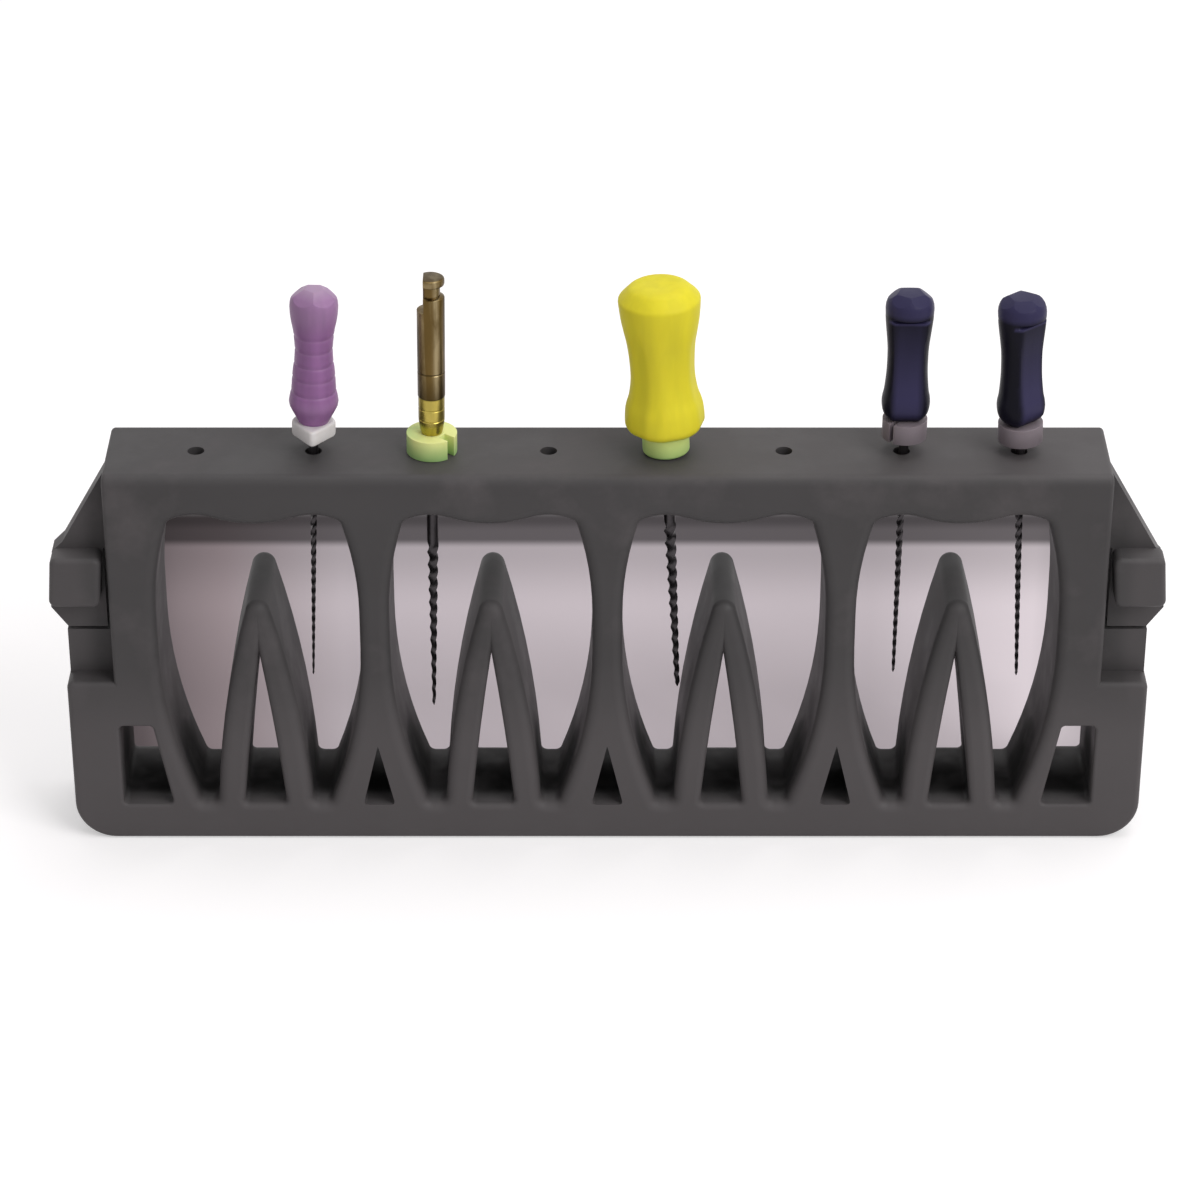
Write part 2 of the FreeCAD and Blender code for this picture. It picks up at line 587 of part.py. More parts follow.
def hang(shape, data):
    """Bring a piece from its own axis to its hole, leaning as the file does."""
    shape.translate(FreeCAD.Vector(0, 0, grip_base(data)))
    shape.rotate(FreeCAD.Vector(0, 0, LEAN_HEIGHT), AXIS_Y, data["lean"])
    shape.translate(FreeCAD.Vector(hole_x(data["hole"]) + data["shift"], 0, 0))
    return shape


def save(shape, name):
    if not shape.isValid():
        raise RuntimeError(name + " is not a valid solid")
    shape.exportStep("parts/" + name + ".step")
    print(name, len(shape.Solids), "solid", round(shape.Volume, 3), "mm3")


def main():
    os.makedirs("parts", exist_ok=True)
    save(holder_body(), "holder_body")

    bores = {}
    for data in (PURPLE, GOLD, YELLOW, NAVY_LEFT, NAVY_RIGHT):
        bores[data["name"]] = data["shaft_radius"] - BORE_INTERFERENCE
        save(hang(blade(data), data), data["name"] + "_blade")

    grip = grip_blank(SLIM_GRIP, bores["purple"])
    grip = ring_grooves(facet_crown(grip, SLIM_GRIP, PURPLE["facet_turn"]), SLIM_GRIP)
    save(hang(grip, PURPLE), "purple_handle")
    save(hang(pointed_stop(PURPLE), PURPLE), "purple_stop")

    save(hang(latch_shank(bores["gold"]), GOLD), "gold_shank")
    save(hang(round_stop(GOLD), GOLD), "gold_stop")

    grip = grip_blank(BIG_GRIP, bores["yellow"])
    depths = (BIG_FLAT_DEPTH, -BIG_FLAT_DEPTH)
    grip = flatten_sides(grip, BIG_GRIP, BIG_FLAT_COUNT, depths, BIG_FLAT_TOP, YELLOW["flat_turn"])
    grip = facet_crown(grip, BIG_GRIP, YELLOW["facet_turn"])
    save(hang(grip, YELLOW), "yellow_handle")
    save(hang(round_stop(YELLOW), YELLOW), "yellow_stop")

    for data in (NAVY_LEFT, NAVY_RIGHT):
        grip = grip_blank(FLAT_GRIP, bores[data["name"]])
        depths = (FLAT_DEPTH, FLAT_DEPTH)
        grip = flatten_sides(grip, FLAT_GRIP, FLAT_COUNT, depths, FLAT_TOP, data["flat_turn"])
        grip = facet_crown(grip, FLAT_GRIP, data["facet_turn"])
        save(hang(grip, data), data["name"] + "_handle")
        save(hang(round_stop(data), data), data["name"] + "_stop")


main()
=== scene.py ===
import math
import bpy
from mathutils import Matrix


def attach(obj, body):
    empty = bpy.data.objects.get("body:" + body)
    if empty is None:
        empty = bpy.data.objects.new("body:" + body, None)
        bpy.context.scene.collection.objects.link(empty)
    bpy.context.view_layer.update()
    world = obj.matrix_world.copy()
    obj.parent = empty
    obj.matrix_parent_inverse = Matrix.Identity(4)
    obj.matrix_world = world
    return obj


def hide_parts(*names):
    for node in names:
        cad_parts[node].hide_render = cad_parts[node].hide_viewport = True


bl_info = {
    "name": "Root Canal File Holder",
    "version": (1, 0, 0),
    "blender": (4, 5, 0),
    "location": "View3D > Sidebar > File Holder",
    "description": "Dresses a moulded root canal file holder and the five files that hang in it",
    "category": "Object",
}

import bmesh
import bpy
from mathutils import Matrix, Vector

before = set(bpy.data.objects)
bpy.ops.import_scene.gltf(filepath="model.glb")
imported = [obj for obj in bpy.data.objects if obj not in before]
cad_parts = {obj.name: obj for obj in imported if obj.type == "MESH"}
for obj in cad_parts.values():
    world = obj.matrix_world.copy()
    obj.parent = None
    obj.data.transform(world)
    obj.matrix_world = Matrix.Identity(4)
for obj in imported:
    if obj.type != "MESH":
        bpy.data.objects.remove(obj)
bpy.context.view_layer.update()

MM = 0.001
HOLDER = "holder"
SAME_LEVEL = 1e-6  # metres within which a point lies on a level

# Where each file hangs: its axis crosses the shelf at hole, leaning by lean degrees towards +X,
# and its grip starts at base. Millimetres, in the part's own frame.
LEAN_HEIGHT = 34.0
FILES = {
    "purple": {"hole": -25.05, "lean": 2.0, "base": 38.97},
    "gold": {"hole": -14.95, "lean": 0.7, "base": 37.85},
    "yellow": {"hole": 5.1, "lean": -2.8, "base": 37.92},
    "navy_left": {"hole": 25.15, "lean": 0.3, "base": 39.22},
    "navy_right": {"hole": 35.15, "lean": -2.0, "base": 38.87},
}


# Sizes and colours a user may change

def colour(name, description, value):
    return bpy.props.FloatVectorProperty(
        name=name, description=description, subtype="COLOR", size=3, min=0.0, max=1.0, default=value)


def number(name, description, value, **limits):
    return bpy.props.FloatProperty(name=name, description=description, default=value, **limits)


def length(name, description, millimetres):
    return number(name, description, millimetres * MM, min=0.0, unit="LENGTH", precision=5)


class HolderFinish(bpy.types.PropertyGroup):
    plastic: colour("Plastic", "Colour of the moulded holder", (0.058, 0.0545, 0.0555))
    # The rubbed colour is also used for the painted light on the foot and the shelf's top, and for the paler end
    # tabs.
    rubbed: colour("Rubbed plastic", "Colour where the plastic is rubbed paler", (0.092, 0.084, 0.086))
    # Painted shade: the colour of the plastic deep in the roots and the low openings.
    recess_painted_shade: colour("Hollows", "Colour deep in the roots and the low openings", (0.0075, 0.0065, 0.0068))
    roughness: number("Roughness", "Roughness of the moulded skin", 0.56, min=0.0, max=1.0)
    grain: length("Grain", "Size of the fine moulding grain", 0.35)


class GripFinish(bpy.types.PropertyGroup):
    purple: colour("Purple", "Colour of the slim grip", (0.250, 0.111, 0.266))
    # The colour of the slim grip's painted highlights on its grooves, bulge and head.
    purple_highlight: colour("Purple rims", "Colour where the slim grip's edges are rubbed", (0.50, 0.38, 0.50))
    yellow: colour("Yellow", "Colour of the big grip", (0.76, 0.665, 0.030))
    yellow_rim: colour("Yellow rims", "Colour of the big grip's thin lower rim", (0.42, 0.60, 0.10))
    navy: colour("Navy", "Colour of the two flat-sided grips", (0.0045, 0.004, 0.0095))
    # The colour of the flat-sided grips' painted reflections and highlights.
    navy_painted_light: colour("Navy rims", "Colour of the flat-sided grips' bluer faces", (0.055, 0.049, 0.125))
    brass: colour("Brass", "Colour of the latch shank", (0.125, 0.080, 0.026))
    # The colour of the painted reflections down the shank and the painted highlight round its head.
    brass_reflection: colour("Brass streaks", "Colour of the paler streaks down the shank", (0.31, 0.245, 0.135))
    collar: colour("Collar", "Colour of the shank's bright collar", (0.42, 0.335, 0.075))


class BladeFinish(bpy.types.PropertyGroup):
    steel: colour("Steel", "Colour of the twisted blades", (0.052, 0.047, 0.050))
    flute: number("Flute", "Depth of the flutes as a share of the radius", 0.40, min=0.1, max=0.7)
    turn_step: number("Turn step", "Turn between two sections of a blade", math.radians(22.5), subtype="ANGLE")


class StopFinish(bpy.types.PropertyGroup):
    white: colour("White", "Colour of the pointed stop", (0.76, 0.73, 0.72))
    green: colour("Green", "Colour of the shank's slotted stop", (0.82, 0.86, 0.33))
    pale_green: colour("Pale green", "Colour of the big grip's stop", (0.74, 0.86, 0.28))
    # The colour of the painted shade on the two green stops.
    green_painted_shade: colour("Green rims", "Deeper green at the rims of the two green stops", (0.26, 0.56, 0.19))
    grey: colour("Grey", "Colour of the two grey stops", (0.21, 0.175, 0.195))
    height: length("Height", "Height of a round stop", 1.8)
    pointed_height: length("Pointed height", "Height of the pointed stop", 1.42)
    grey_height: length("Grey height", "Height of the two grey stops, which slide down to the shelf", 1.72)
    edge: length("Edge", "Rounding of a stop's rims", 0.25)


class StageSettings(bpy.types.PropertyGroup):
    elevation: number("Elevation", "Camera's height angle over the floor", math.radians(29.815), subtype="ANGLE")
    distance: number("Distance", "From the camera to the point it looks at", 0.36004, unit="LENGTH")
    look_height: length("Look height", "Height of the point the camera looks at", 21.379)
    sideways: number("Sideways", "Sideways place of the camera", -0.000636, unit="LENGTH")
    lens: number("Lens", "Focal length in millimetres on a 36 mm sensor", 124.467)
    floor: colour("Floor", "Colour of the floor", (0.74, 0.72, 0.725))
    shade_left: colour("Left shade", "Floor in the shade behind the holder's left end", (0.33, 0.27, 0.285))
    shade_middle: colour("Middle shade", "Floor in the shade behind its middle", (0.70, 0.625, 0.665))
    shade_right: colour("Right shade", "Floor in the shade behind its right end", (0.77, 0.69, 0.73))
    key: number("Key", "Power of the front lamp in watts", 2.6)
    top: number("Top", "Power of the lamp overhead in watts", 2.4)
    fill: number("Fill", "Strength of the light from all round", 0.40)
    lift: number("Lift", "How much whiter the open floor is to the camera", 0.42)


# Modelling by hand: small steps that every piece uses

def clear_selection():
    bpy.ops.object.select_all(action="DESELECT")


def work_on(piece):
    """Make a piece the only one selected, and the active one."""
    clear_selection()
    piece.select_set(True)
    bpy.context.view_layer.objects.active = piece


def begin_edit():
    bpy.ops.object.mode_set(mode="EDIT")
    bpy.ops.mesh.select_mode(type="VERT")


def end_edit():
    bpy.ops.object.mode_set(mode="OBJECT")


def pick_all():
    bpy.ops.mesh.select_all(action="SELECT")


def draw_out(rise):
    """Extrude what is selected by rise millimetres along Z."""
    bpy.ops.mesh.extrude_region_move(TRANSFORM_OT_translate={"value": (0, 0, rise * MM)})


def widen(share, level):
    """Scale what is selected about the axis; level is its height in millimetres."""
    bpy.ops.transform.resize(value=(share, share, 1), center_override=(0, 0, level * MM))


def face_outward():
    pick_all()
    bpy.ops.mesh.normals_make_consistent(inside=False)
    end_edit()


def pick_points(wanted):
    """Select the points of the piece in edit mode for which wanted(place) is true, and count them."""
    piece = bpy.context.object
    mesh = bmesh.from_edit_mesh(piece.data)
    count = 0
    for point in mesh.verts:
        point.select = bool(wanted(point.co))
        count += point.select
    mesh.select_flush_mode()
    bmesh.update_edit_mesh(piece.data)
    return count


def pick_edges(wanted):
    """Select the edges for which wanted(edge) is true."""
    piece = bpy.context.object
    bpy.ops.mesh.select_mode(type="EDGE")
    mesh = bmesh.from_edit_mesh(piece.data)
    for edge in mesh.edges:
        edge.select = False
    for edge in mesh.edges:
        if wanted(edge):
            edge.select = True
    bmesh.update_edit_mesh(piece.data)


def raise_rings(name, rings, segments):
    """Grow a closed turned form from a disc, ring by ring. rings are (height, radius) in millimetres."""
    clear_selection()
    height, radius = rings[0]
    bpy.ops.mesh.primitive_circle_add(
        vertices=segments, radius=radius * MM, fill_type="NGON", location=(0, 0, height * MM))
    piece = bpy.context.object
    piece.name = name
    bpy.ops.object.transform_apply(location=True, rotation=False, scale=False)
    begin_edit()
    pick_all()
    for next_height, next_radius in rings[1:]:
        draw_out(next_height - height)
        widen(next_radius / radius, next_height)
        height, radius = next_height, next_radius
    face_outward()
    return piece


def soften(angle=32):
    """Smooth shading that keeps the edges sharper than the angle in degrees."""
    bpy.ops.object.shade_smooth_by_angle(angle=math.radians(angle))


def slice_off(place, away):
    """Cut the piece along a plane and close it, taking off what lies towards away."""
    pick_all()
    bpy.ops.mesh.bisect(
        plane_co=[value * MM for value in place], plane_no=away, use_fill=True, clear_outer=True,
        clear_inner=False, threshold=1e-7)


def hang(piece, name, turn=0.0):
    """Bring a piece from its own axis to its file's place, turned about the axis first."""
    data = FILES[name]
    place = Matrix.Translation((data["hole"] * MM, 0, LEAN_HEIGHT * MM))
    place = place @ Matrix.Rotation(math.radians(data["lean"]), 4, "Y")
    place = place @ Matrix.Translation((0, 0, (data["base"] - LEAN_HEIGHT) * MM))
    place = place @ Matrix.Rotation(math.radians(turn), 4, "Z")
    work_on(piece)
    piece.matrix_world = place
    bpy.ops.object.transform_apply(location=True, rotation=True, scale=True)


def copy_piece(piece, name):
    """A copy with a mesh of its own."""
    work_on(piece)
    bpy.ops.object.duplicate(linked=False)
    twin = bpy.context.object
    twin.name = name
    return twin


def wear(piece, material):
    """Give a piece its material and the part's material slot."""
    piece.data.materials.clear()
    piece.data.materials.append(material)


def dome_rings(head, top, crown):
    """Rings that round a grip's head over to its flat top, from the head's last ring to the crown's radius."""
    height, radius = head
    count = 6
    rings = []
    for i in range(1, count + 1):
        angle = math.radians(90 * i / count)
        rings.append((height + (top - height) * math.sin(angle),
                      crown + (radius - crown) * math.cos(angle)))
    return rings


def press_flats(rings, count, flat_at, top):
    """Press flats into the sides: on each ring, points past the flat are brought back to it."""
    for _ in range(count):
        for height, radius in rings:
            flat = flat_at(height, radius)
            if height > top or flat >= radius:
                continue
            level = height * MM
            if pick_points(lambda co: abs(co.z - level) < SAME_LEVEL and co.y < -flat * MM):
                bpy.ops.transform.resize(value=(1, 0, 1), center_override=(0, -flat * MM, 0))
        pick_all()
        bpy.ops.transform.rotate(value=math.radians(360 / count), orient_axis="Z", center_override=(0, 0, 0))


def facet_crown(count, distance, level, slope, turn, bevel):
    """Slice sloping facets round a head and break their edges, which are the sharp ones of its big faces."""
    tilt = math.radians(slope)
    for i in range(count):
        angle = math.radians(turn + 360 * i / count)
        away = (math.sin(tilt) * math.cos(angle), math.sin(tilt) * math.sin(angle), math.cos(tilt))
        slice_off((distance * math.cos(angle), distance * math.sin(angle), level), away)
    low, sharp = (level - 1.2) * MM, math.radians(9)
    pick_edges(lambda edge: len(edge.link_faces) == 2 and edge.calc_face_angle(0) > sharp
               and min(v.co.z for v in edge.verts) > low
               and max(len(face.verts) for face in edge.link_faces) > 4)
    bpy.ops.mesh.bevel(offset=bevel * MM, segments=2, affect="EDGES", clamp_overlap=True)
    bpy.ops.mesh.select_mode(type="VERT")


# Materials

class Nodes:
    """A node tree with short ways to add and join nodes."""

    def __init__(self, name):
        self.material = bpy.data.materials.new(name)
        self.material.use_nodes = True
        self.tree = self.material.node_tree
        self.tree.nodes.clear()
        self.output = self.add("ShaderNodeOutputMaterial", "Surface")
        self.shader = self.add("ShaderNodeBsdfPrincipled", "Skin")
        self.join(self.shader, "BSDF", self.output, "Surface")
        self.place = self.add("ShaderNodeTexCoord", "Place on the part")

    def add(self, kind, label, **values):
        node = self.tree.nodes.new(kind)
        node.label = label
        for key, value in values.items():
            setattr(node, key, value)
        return node

    def join(self, source, out, target, into):
        self.tree.links.new(source.outputs[out], target.inputs[into])

    def mapping(self, scale):
        """The place on the part, drawn out along the axes."""
        node = self.add("ShaderNodeMapping", "Pattern place")
        node.inputs["Scale"].default_value = scale
        self.join(self.place, "Object", node, "Vector")
        return node

    def noise(self, scale, detail, mapping=None, roughness=0.5, label="Noise"):
        node = self.add("ShaderNodeTexNoise", label)
        node.inputs["Scale"].default_value = scale
        node.inputs["Detail"].default_value = detail
        node.inputs["Roughness"].default_value = roughness
        self.join(mapping or self.place, "Vector" if mapping else "Object", node, "Vector")
        return node

    def ramp(self, source, out, stops, label="Range"):
        node = self.add("ShaderNodeValToRGB", label)
        elements = node.color_ramp.elements
        while len(elements) < len(stops):
            elements.new(0.5)
        for element, (place, value) in zip(elements, stops):
            element.position = place
            element.color = tuple(value) + (1.0,)
        self.join(source, out, node, "Fac")
        return node

    def mix(self, factor, first, second, label="Blend", kind="MIX"):
        """Colour mix. factor is (node, output) or a number; first and second are colours or (node, output)."""
        node = self.add("ShaderNodeMix", label, data_type="RGBA", blend_type=kind)
        for socket, value in ((node.inputs[0], factor), (node.inputs[6], first), (node.inputs[7], second)):
            if isinstance(value, tuple) and len(value) == 2 and not isinstance(value[0], float):
                self.tree.links.new(value[0].outputs[value[1]], socket)
            elif isinstance(value, (int, float)):
                socket.default_value = value
            else:
                socket.default_value = tuple(value)[:3] + (1.0,)
        return node

    def axes(self):
        """The place on the part, axis by axis."""
        node = self.add("ShaderNodeSeparateXYZ", "Place by axis")
        self.join(self.place, "Object", node, "Vector")
        return node

    def reckon(self, operation, *values, label="Figure"):
        """Arithmetic on up to three values, each a node, a (node, output) pair or a number."""
        node = self.add("ShaderNodeMath", label, operation=operation)
        for i, value in enumerate(values):
            if isinstance(value, (int, float)):
                node.inputs[i].default_value = value
            else:
                source, out = value if isinstance(value, tuple) else (value, 0)
                self.join(source, out, node, i)
        return node

    def step(self, source, out, low, high, start, end, label, kind):
        """Go from start, at low and under it, to end, at high and over it."""
        node = self.add("ShaderNodeMapRange", label, interpolation_type=kind)
        for name, value in (("From Min", low), ("From Max", high), ("To Min", start), ("To Max", end)):
            node.inputs[name].default_value = value
        self.join(source, out, node, "Value")
        return node

    def fade(self, source, out, low, high, start=0.0, end=1.0, label="Soft edge"):
        """A step with soft ends."""
        return self.step(source, out, low, high, start, end, label, "SMOOTHSTEP")

    def roughen(self, noise, low, high):
        """Roughness from low to high, following a noise."""
        node = self.step(noise, "Fac", 0.3, 0.7, low, high, "Roughness range", "LINEAR")
        self.join(node, "Result", self.shader, "Roughness")

    def product(self, *factors):
        """Multiply the first outputs of several nodes."""
        last = factors[0]
        for factor in factors[1:]:
            last = self.reckon("MULTIPLY", last, factor, label="Both")
        return last

    def painted(self, name="rims"):
        """The piece's own painted attribute."""
        return self.add("ShaderNodeAttribute", "Painted " + name, attribute_name=name)

    def bump(self, layers):
        """Stack bumps: each layer is (node, output, strength, distance in millimetres)."""
        last = None
        for source, out, strength, depth in layers:
            node = self.add("ShaderNodeBump", "Relief")
            node.inputs["Strength"].default_value = strength
            node.inputs["Distance"].default_value = depth * MM
            self.join(source, out, node, "Height")
            if last:
                self.join(last, "Normal", node, "Normal")
            last = node
        self.join(last, "Normal", self.shader, "Normal")


def shade(value, factor):
    """A colour made darker or paler by a factor."""
    return tuple(channel * factor for channel in value)


def painted_recess_shade(nodes):
    """How deep a place lies in the roots and the low openings, which are given painted shade and a duller, rougher
    skin.
    """
    place = nodes.axes()
    side = nodes.reckon("ABSOLUTE", (place, "X"), label="Either side")
    return nodes.product(
        nodes.fade(place, "Y", -4.8 * MM, -2.0 * MM, label="Behind the front"),
        nodes.fade(place, "Y", -1.0 * MM, 3.8 * MM, 1.0, 0.72, label="Paler towards the back"),
        nodes.fade(place, "Y", 4.2 * MM, 4.9 * MM, 1.0, 0.0, label="Short of the back face"),
        nodes.fade(place, "Z", 6.0 * MM, 14.5 * MM, 1.0, 0.0, label="Low down"),
        nodes.fade(place, "Z", 1.5 * MM, 3.0 * MM, label="Over the sill"),
        nodes.fade(side, 0, 43.6 * MM, 44.8 * MM, 1.0, 0.0, label="Inside the end walls"))


def moulded_plastic(settings):
    """Dark matt plastic of the holder: mottled, finely grained, a little paler in rubbed patches, with painted
    light on the foot and on the shelf's top, paler end tabs, and painted shade deep in the roots and the low
    openings.
    """
    nodes = Nodes("moulded_plastic")
    clouds = nodes.noise(160, 4, label="Cloudy mottling", roughness=0.6)
    flow = nodes.noise(90, 3, nodes.mapping((0.35, 1, 1.6)), label="Flow of the moulding")
    grain = nodes.noise(1 / settings.grain, 3, label="Fine grain", roughness=0.6)
    rubbed = nodes.ramp(clouds, "Fac", [(0.52, (0, 0, 0)), (0.80, (1, 1, 1))], label="Rubbed places")
    base = nodes.mix((flow, "Fac"), shade(settings.plastic, 0.88), shade(settings.plastic, 1.14), label="Plastic")
    pale = nodes.mix((rubbed, "Color"), (base, 2), tuple(settings.rubbed), label="Rubbed plastic")
    # Painted shade deep in the roots and the low openings, uneven in blotches; the same places are also made
    # rougher.
    blotches = nodes.noise(300, 2, label="Blotches in the hollows")
    uneven = nodes.fade(blotches, "Fac", 0.35, 0.60, 0.84, 1.0, label="Uneven hollows")
    dark = nodes.reckon("MULTIPLY", painted_recess_shade(nodes), uneven, label="Dark hollows")
    # Painted light: the foot paler low down, and the shelf's top paler, more so to the right, towards the front
    # lamp. The end tabs are paler too.
    place = nodes.axes()
    foot = nodes.fade(place, "Z", 9 * MM, 19 * MM, 0.90, 0.0, label="Brighter foot")
    shelf = nodes.product(
        nodes.fade(place, "Z", 35.6 * MM, 35.95 * MM), nodes.fade(place, "X", -30 * MM, 40 * MM, 0.10, 0.70))
    side = nodes.reckon("ABSOLUTE", (place, "X"), label="Either side")
    tabs = nodes.fade(side, 0, 43.8 * MM, 45.5 * MM, 0.0, 0.55, label="Brighter tabs")
    painted_light_and_tab_mask = nodes.reckon("MAXIMUM", nodes.reckon("MAXIMUM", foot, shelf), tabs, label="Brighter places")
    painted_light_and_pale_tabs = nodes.mix((painted_light_and_tab_mask, 0), (pale, 2), tuple(settings.rubbed), label="Paler handled places")
    both = nodes.mix((dark, 0), (painted_light_and_pale_tabs, 2), tuple(settings.recess_painted_shade), label="Plastic with dark hollows")
    nodes.join(both, 2, nodes.shader, "Base Color")
    nodes.shader.inputs["Specular IOR Level"].default_value = 0.25
    sheen = nodes.fade(clouds, "Fac", 0.3, 0.7, settings.roughness - 0.07, settings.roughness + 0.10, label="Sheen")
    dull = nodes.reckon("MAXIMUM", sheen, dark, label="Dull hollows")
    nodes.join(dull, 0, nodes.shader, "Roughness")
    nodes.bump([(flow, "Fac", 0.25, 0.05), (grain, "Fac", 0.35, 0.02)])
    return nodes.material


def paint(piece, amount_at, name="rims"):
    """Give each point of a piece a painted amount, by its place on the piece's own axis in millimetres."""
    attribute = piece.data.attributes.new(name, "FLOAT", "POINT")
    for point, value in zip(piece.data.vertices, attribute.data):
        value.value = amount_at(*(point.co / MM))


def grip_plastic(name, tone, rim, roughness, grain_strength, sheer, gloss, sway):
    """Satin plastic of a grip, with soft clouding, a fine grain and the painted rims in a tone of their own, which
    on the slim and the flat-sided grips are painted highlights and reflections.
    sway is how much paler its upright streaks are."""
    nodes = Nodes(name)
    clouds = nodes.noise(420, 3, label="Soft clouding")
    grain = nodes.noise(4200, 2, label="Fine grain")
    streak = nodes.noise(900, 2, nodes.mapping((1, 1, 0.12)), label="Faint upright streaks")
    base = nodes.mix((clouds, "Fac"), shade(tone, 1 - sway), shade(tone, 1 + 0.7 * sway), label="Plastic")
    uneven = nodes.ramp(streak, "Fac", [(0.38, (0, 0, 0)), (0.66, (1, 1, 1))], label="Uneven streaks")
    tint = nodes.mix((uneven, "Color"), (base, 2), shade(tone, 1 + 1.4 * sway), label="Streaked plastic")
    both = nodes.mix((nodes.painted(), "Fac"), (tint, 2), rim, label="Plastic with rims")
    nodes.join(both, 2, nodes.shader, "Base Color")
    nodes.shader.inputs["Specular IOR Level"].default_value = gloss
    nodes.roughen(clouds, roughness - 0.05, roughness + 0.08)
    nodes.shader.inputs["Subsurface Weight"].default_value = sheer
    nodes.shader.inputs["Subsurface Radius"].default_value = (1.0, 0.8, 0.6)
    nodes.shader.inputs["Subsurface Scale"].default_value = 0.4 * MM
    nodes.bump([(streak, "Fac", grain_strength, 0.04), (grain, "Fac", grain_strength, 0.01)])
    return nodes.material


def turned_brass(name, tone, reflection_tone, roughness):
    """Turned brass with tool marks round it, a brown tarnish in cloudy patches, paler streaks down it that are
    partly fine drawn streaks and partly painted reflections, and painted dark, which along the edges is painted
    shade.
    """
    nodes = Nodes(name)
    marks = nodes.noise(1400, 2, nodes.mapping((0.05, 0.05, 4.0)), label="Turning marks")
    tarnish = nodes.noise(520, 4, nodes.mapping((1, 1, 0.35)), label="Tarnish", roughness=0.65)
    patches = nodes.ramp(tarnish, "Fac", [(0.40, (0, 0, 0)), (0.68, (1, 1, 1))], label="Tarnished patches")
    drawn = nodes.noise(2400, 2, nodes.mapping((1, 1, 0.03)), label="Streaks down the shank")
    fine = nodes.fade(drawn, "Fac", 0.44, 0.60, 0.0, 0.35, label="Fine streaks")
    streaks = nodes.reckon("ADD", (nodes.painted("streak"), "Fac"), fine, label="All streaks")
    streaks.use_clamp = True
    streaked = nodes.mix((streaks, 0), tone, reflection_tone, label="Streaked brass")
    base = nodes.mix((patches, "Color"), (streaked, 2), shade(tone, 0.80), label="Brass")
    # The painted dark: the grooves, and painted shade along the edges.
    both = nodes.mix((nodes.painted(), "Fac"), (base, 2), shade(tone, 0.30), label="Brass with dark grooves")
    nodes.join(both, 2, nodes.shader, "Base Color")
    nodes.shader.inputs["Metallic"].default_value = 1.0
    nodes.roughen(tarnish, roughness, roughness + 0.2)
    nodes.bump([(marks, "Fac", 0.30, 0.012)])
    return nodes.material


def ground_steel(settings):
    """Dark ground steel of the blades."""
    nodes = Nodes("ground_steel")
    marks = nodes.noise(5200, 2, nodes.mapping((1, 1, 2.5)), label="Grinding marks")
    stains = nodes.noise(900, 3, label="Stains")
    base = nodes.mix((stains, "Fac"), shade(settings.steel, 0.55), shade(settings.steel, 1.7), label="Steel")
    nodes.join(base, 2, nodes.shader, "Base Color")
    nodes.shader.inputs["Metallic"].default_value = 0.85
    nodes.roughen(stains, 0.30, 0.55)
    nodes.bump([(marks, "Fac", 0.30, 0.006)])
    return nodes.material


def silicone(name, tone, rim):
    """Soft silicone of a stop, slightly see-through, with painted shade in a deeper tone at its painted rims."""
    nodes = Nodes(name)
    clouds = nodes.noise(700, 3, label="Milky clouds")
    grain = nodes.noise(3600, 2, label="Matt skin")
    base = nodes.mix((clouds, "Fac"), shade(tone, 0.85), shade(tone, 1.10), label="Silicone")
    both = nodes.mix((nodes.painted(), "Fac"), (base, 2), rim, label="Silicone with rims")
    nodes.join(both, 2, nodes.shader, "Base Color")
    nodes.roughen(clouds, 0.50, 0.66)
    nodes.shader.inputs["Subsurface Weight"].default_value = 0.25
    nodes.shader.inputs["Subsurface Radius"].default_value = (1.0, 0.9, 0.8)
    nodes.shader.inputs["Subsurface Scale"].default_value = 0.5 * MM
    nodes.bump([(grain, "Fac", 0.25, 0.01)])
    return nodes.material


# Operators, one for each piece or group of like pieces

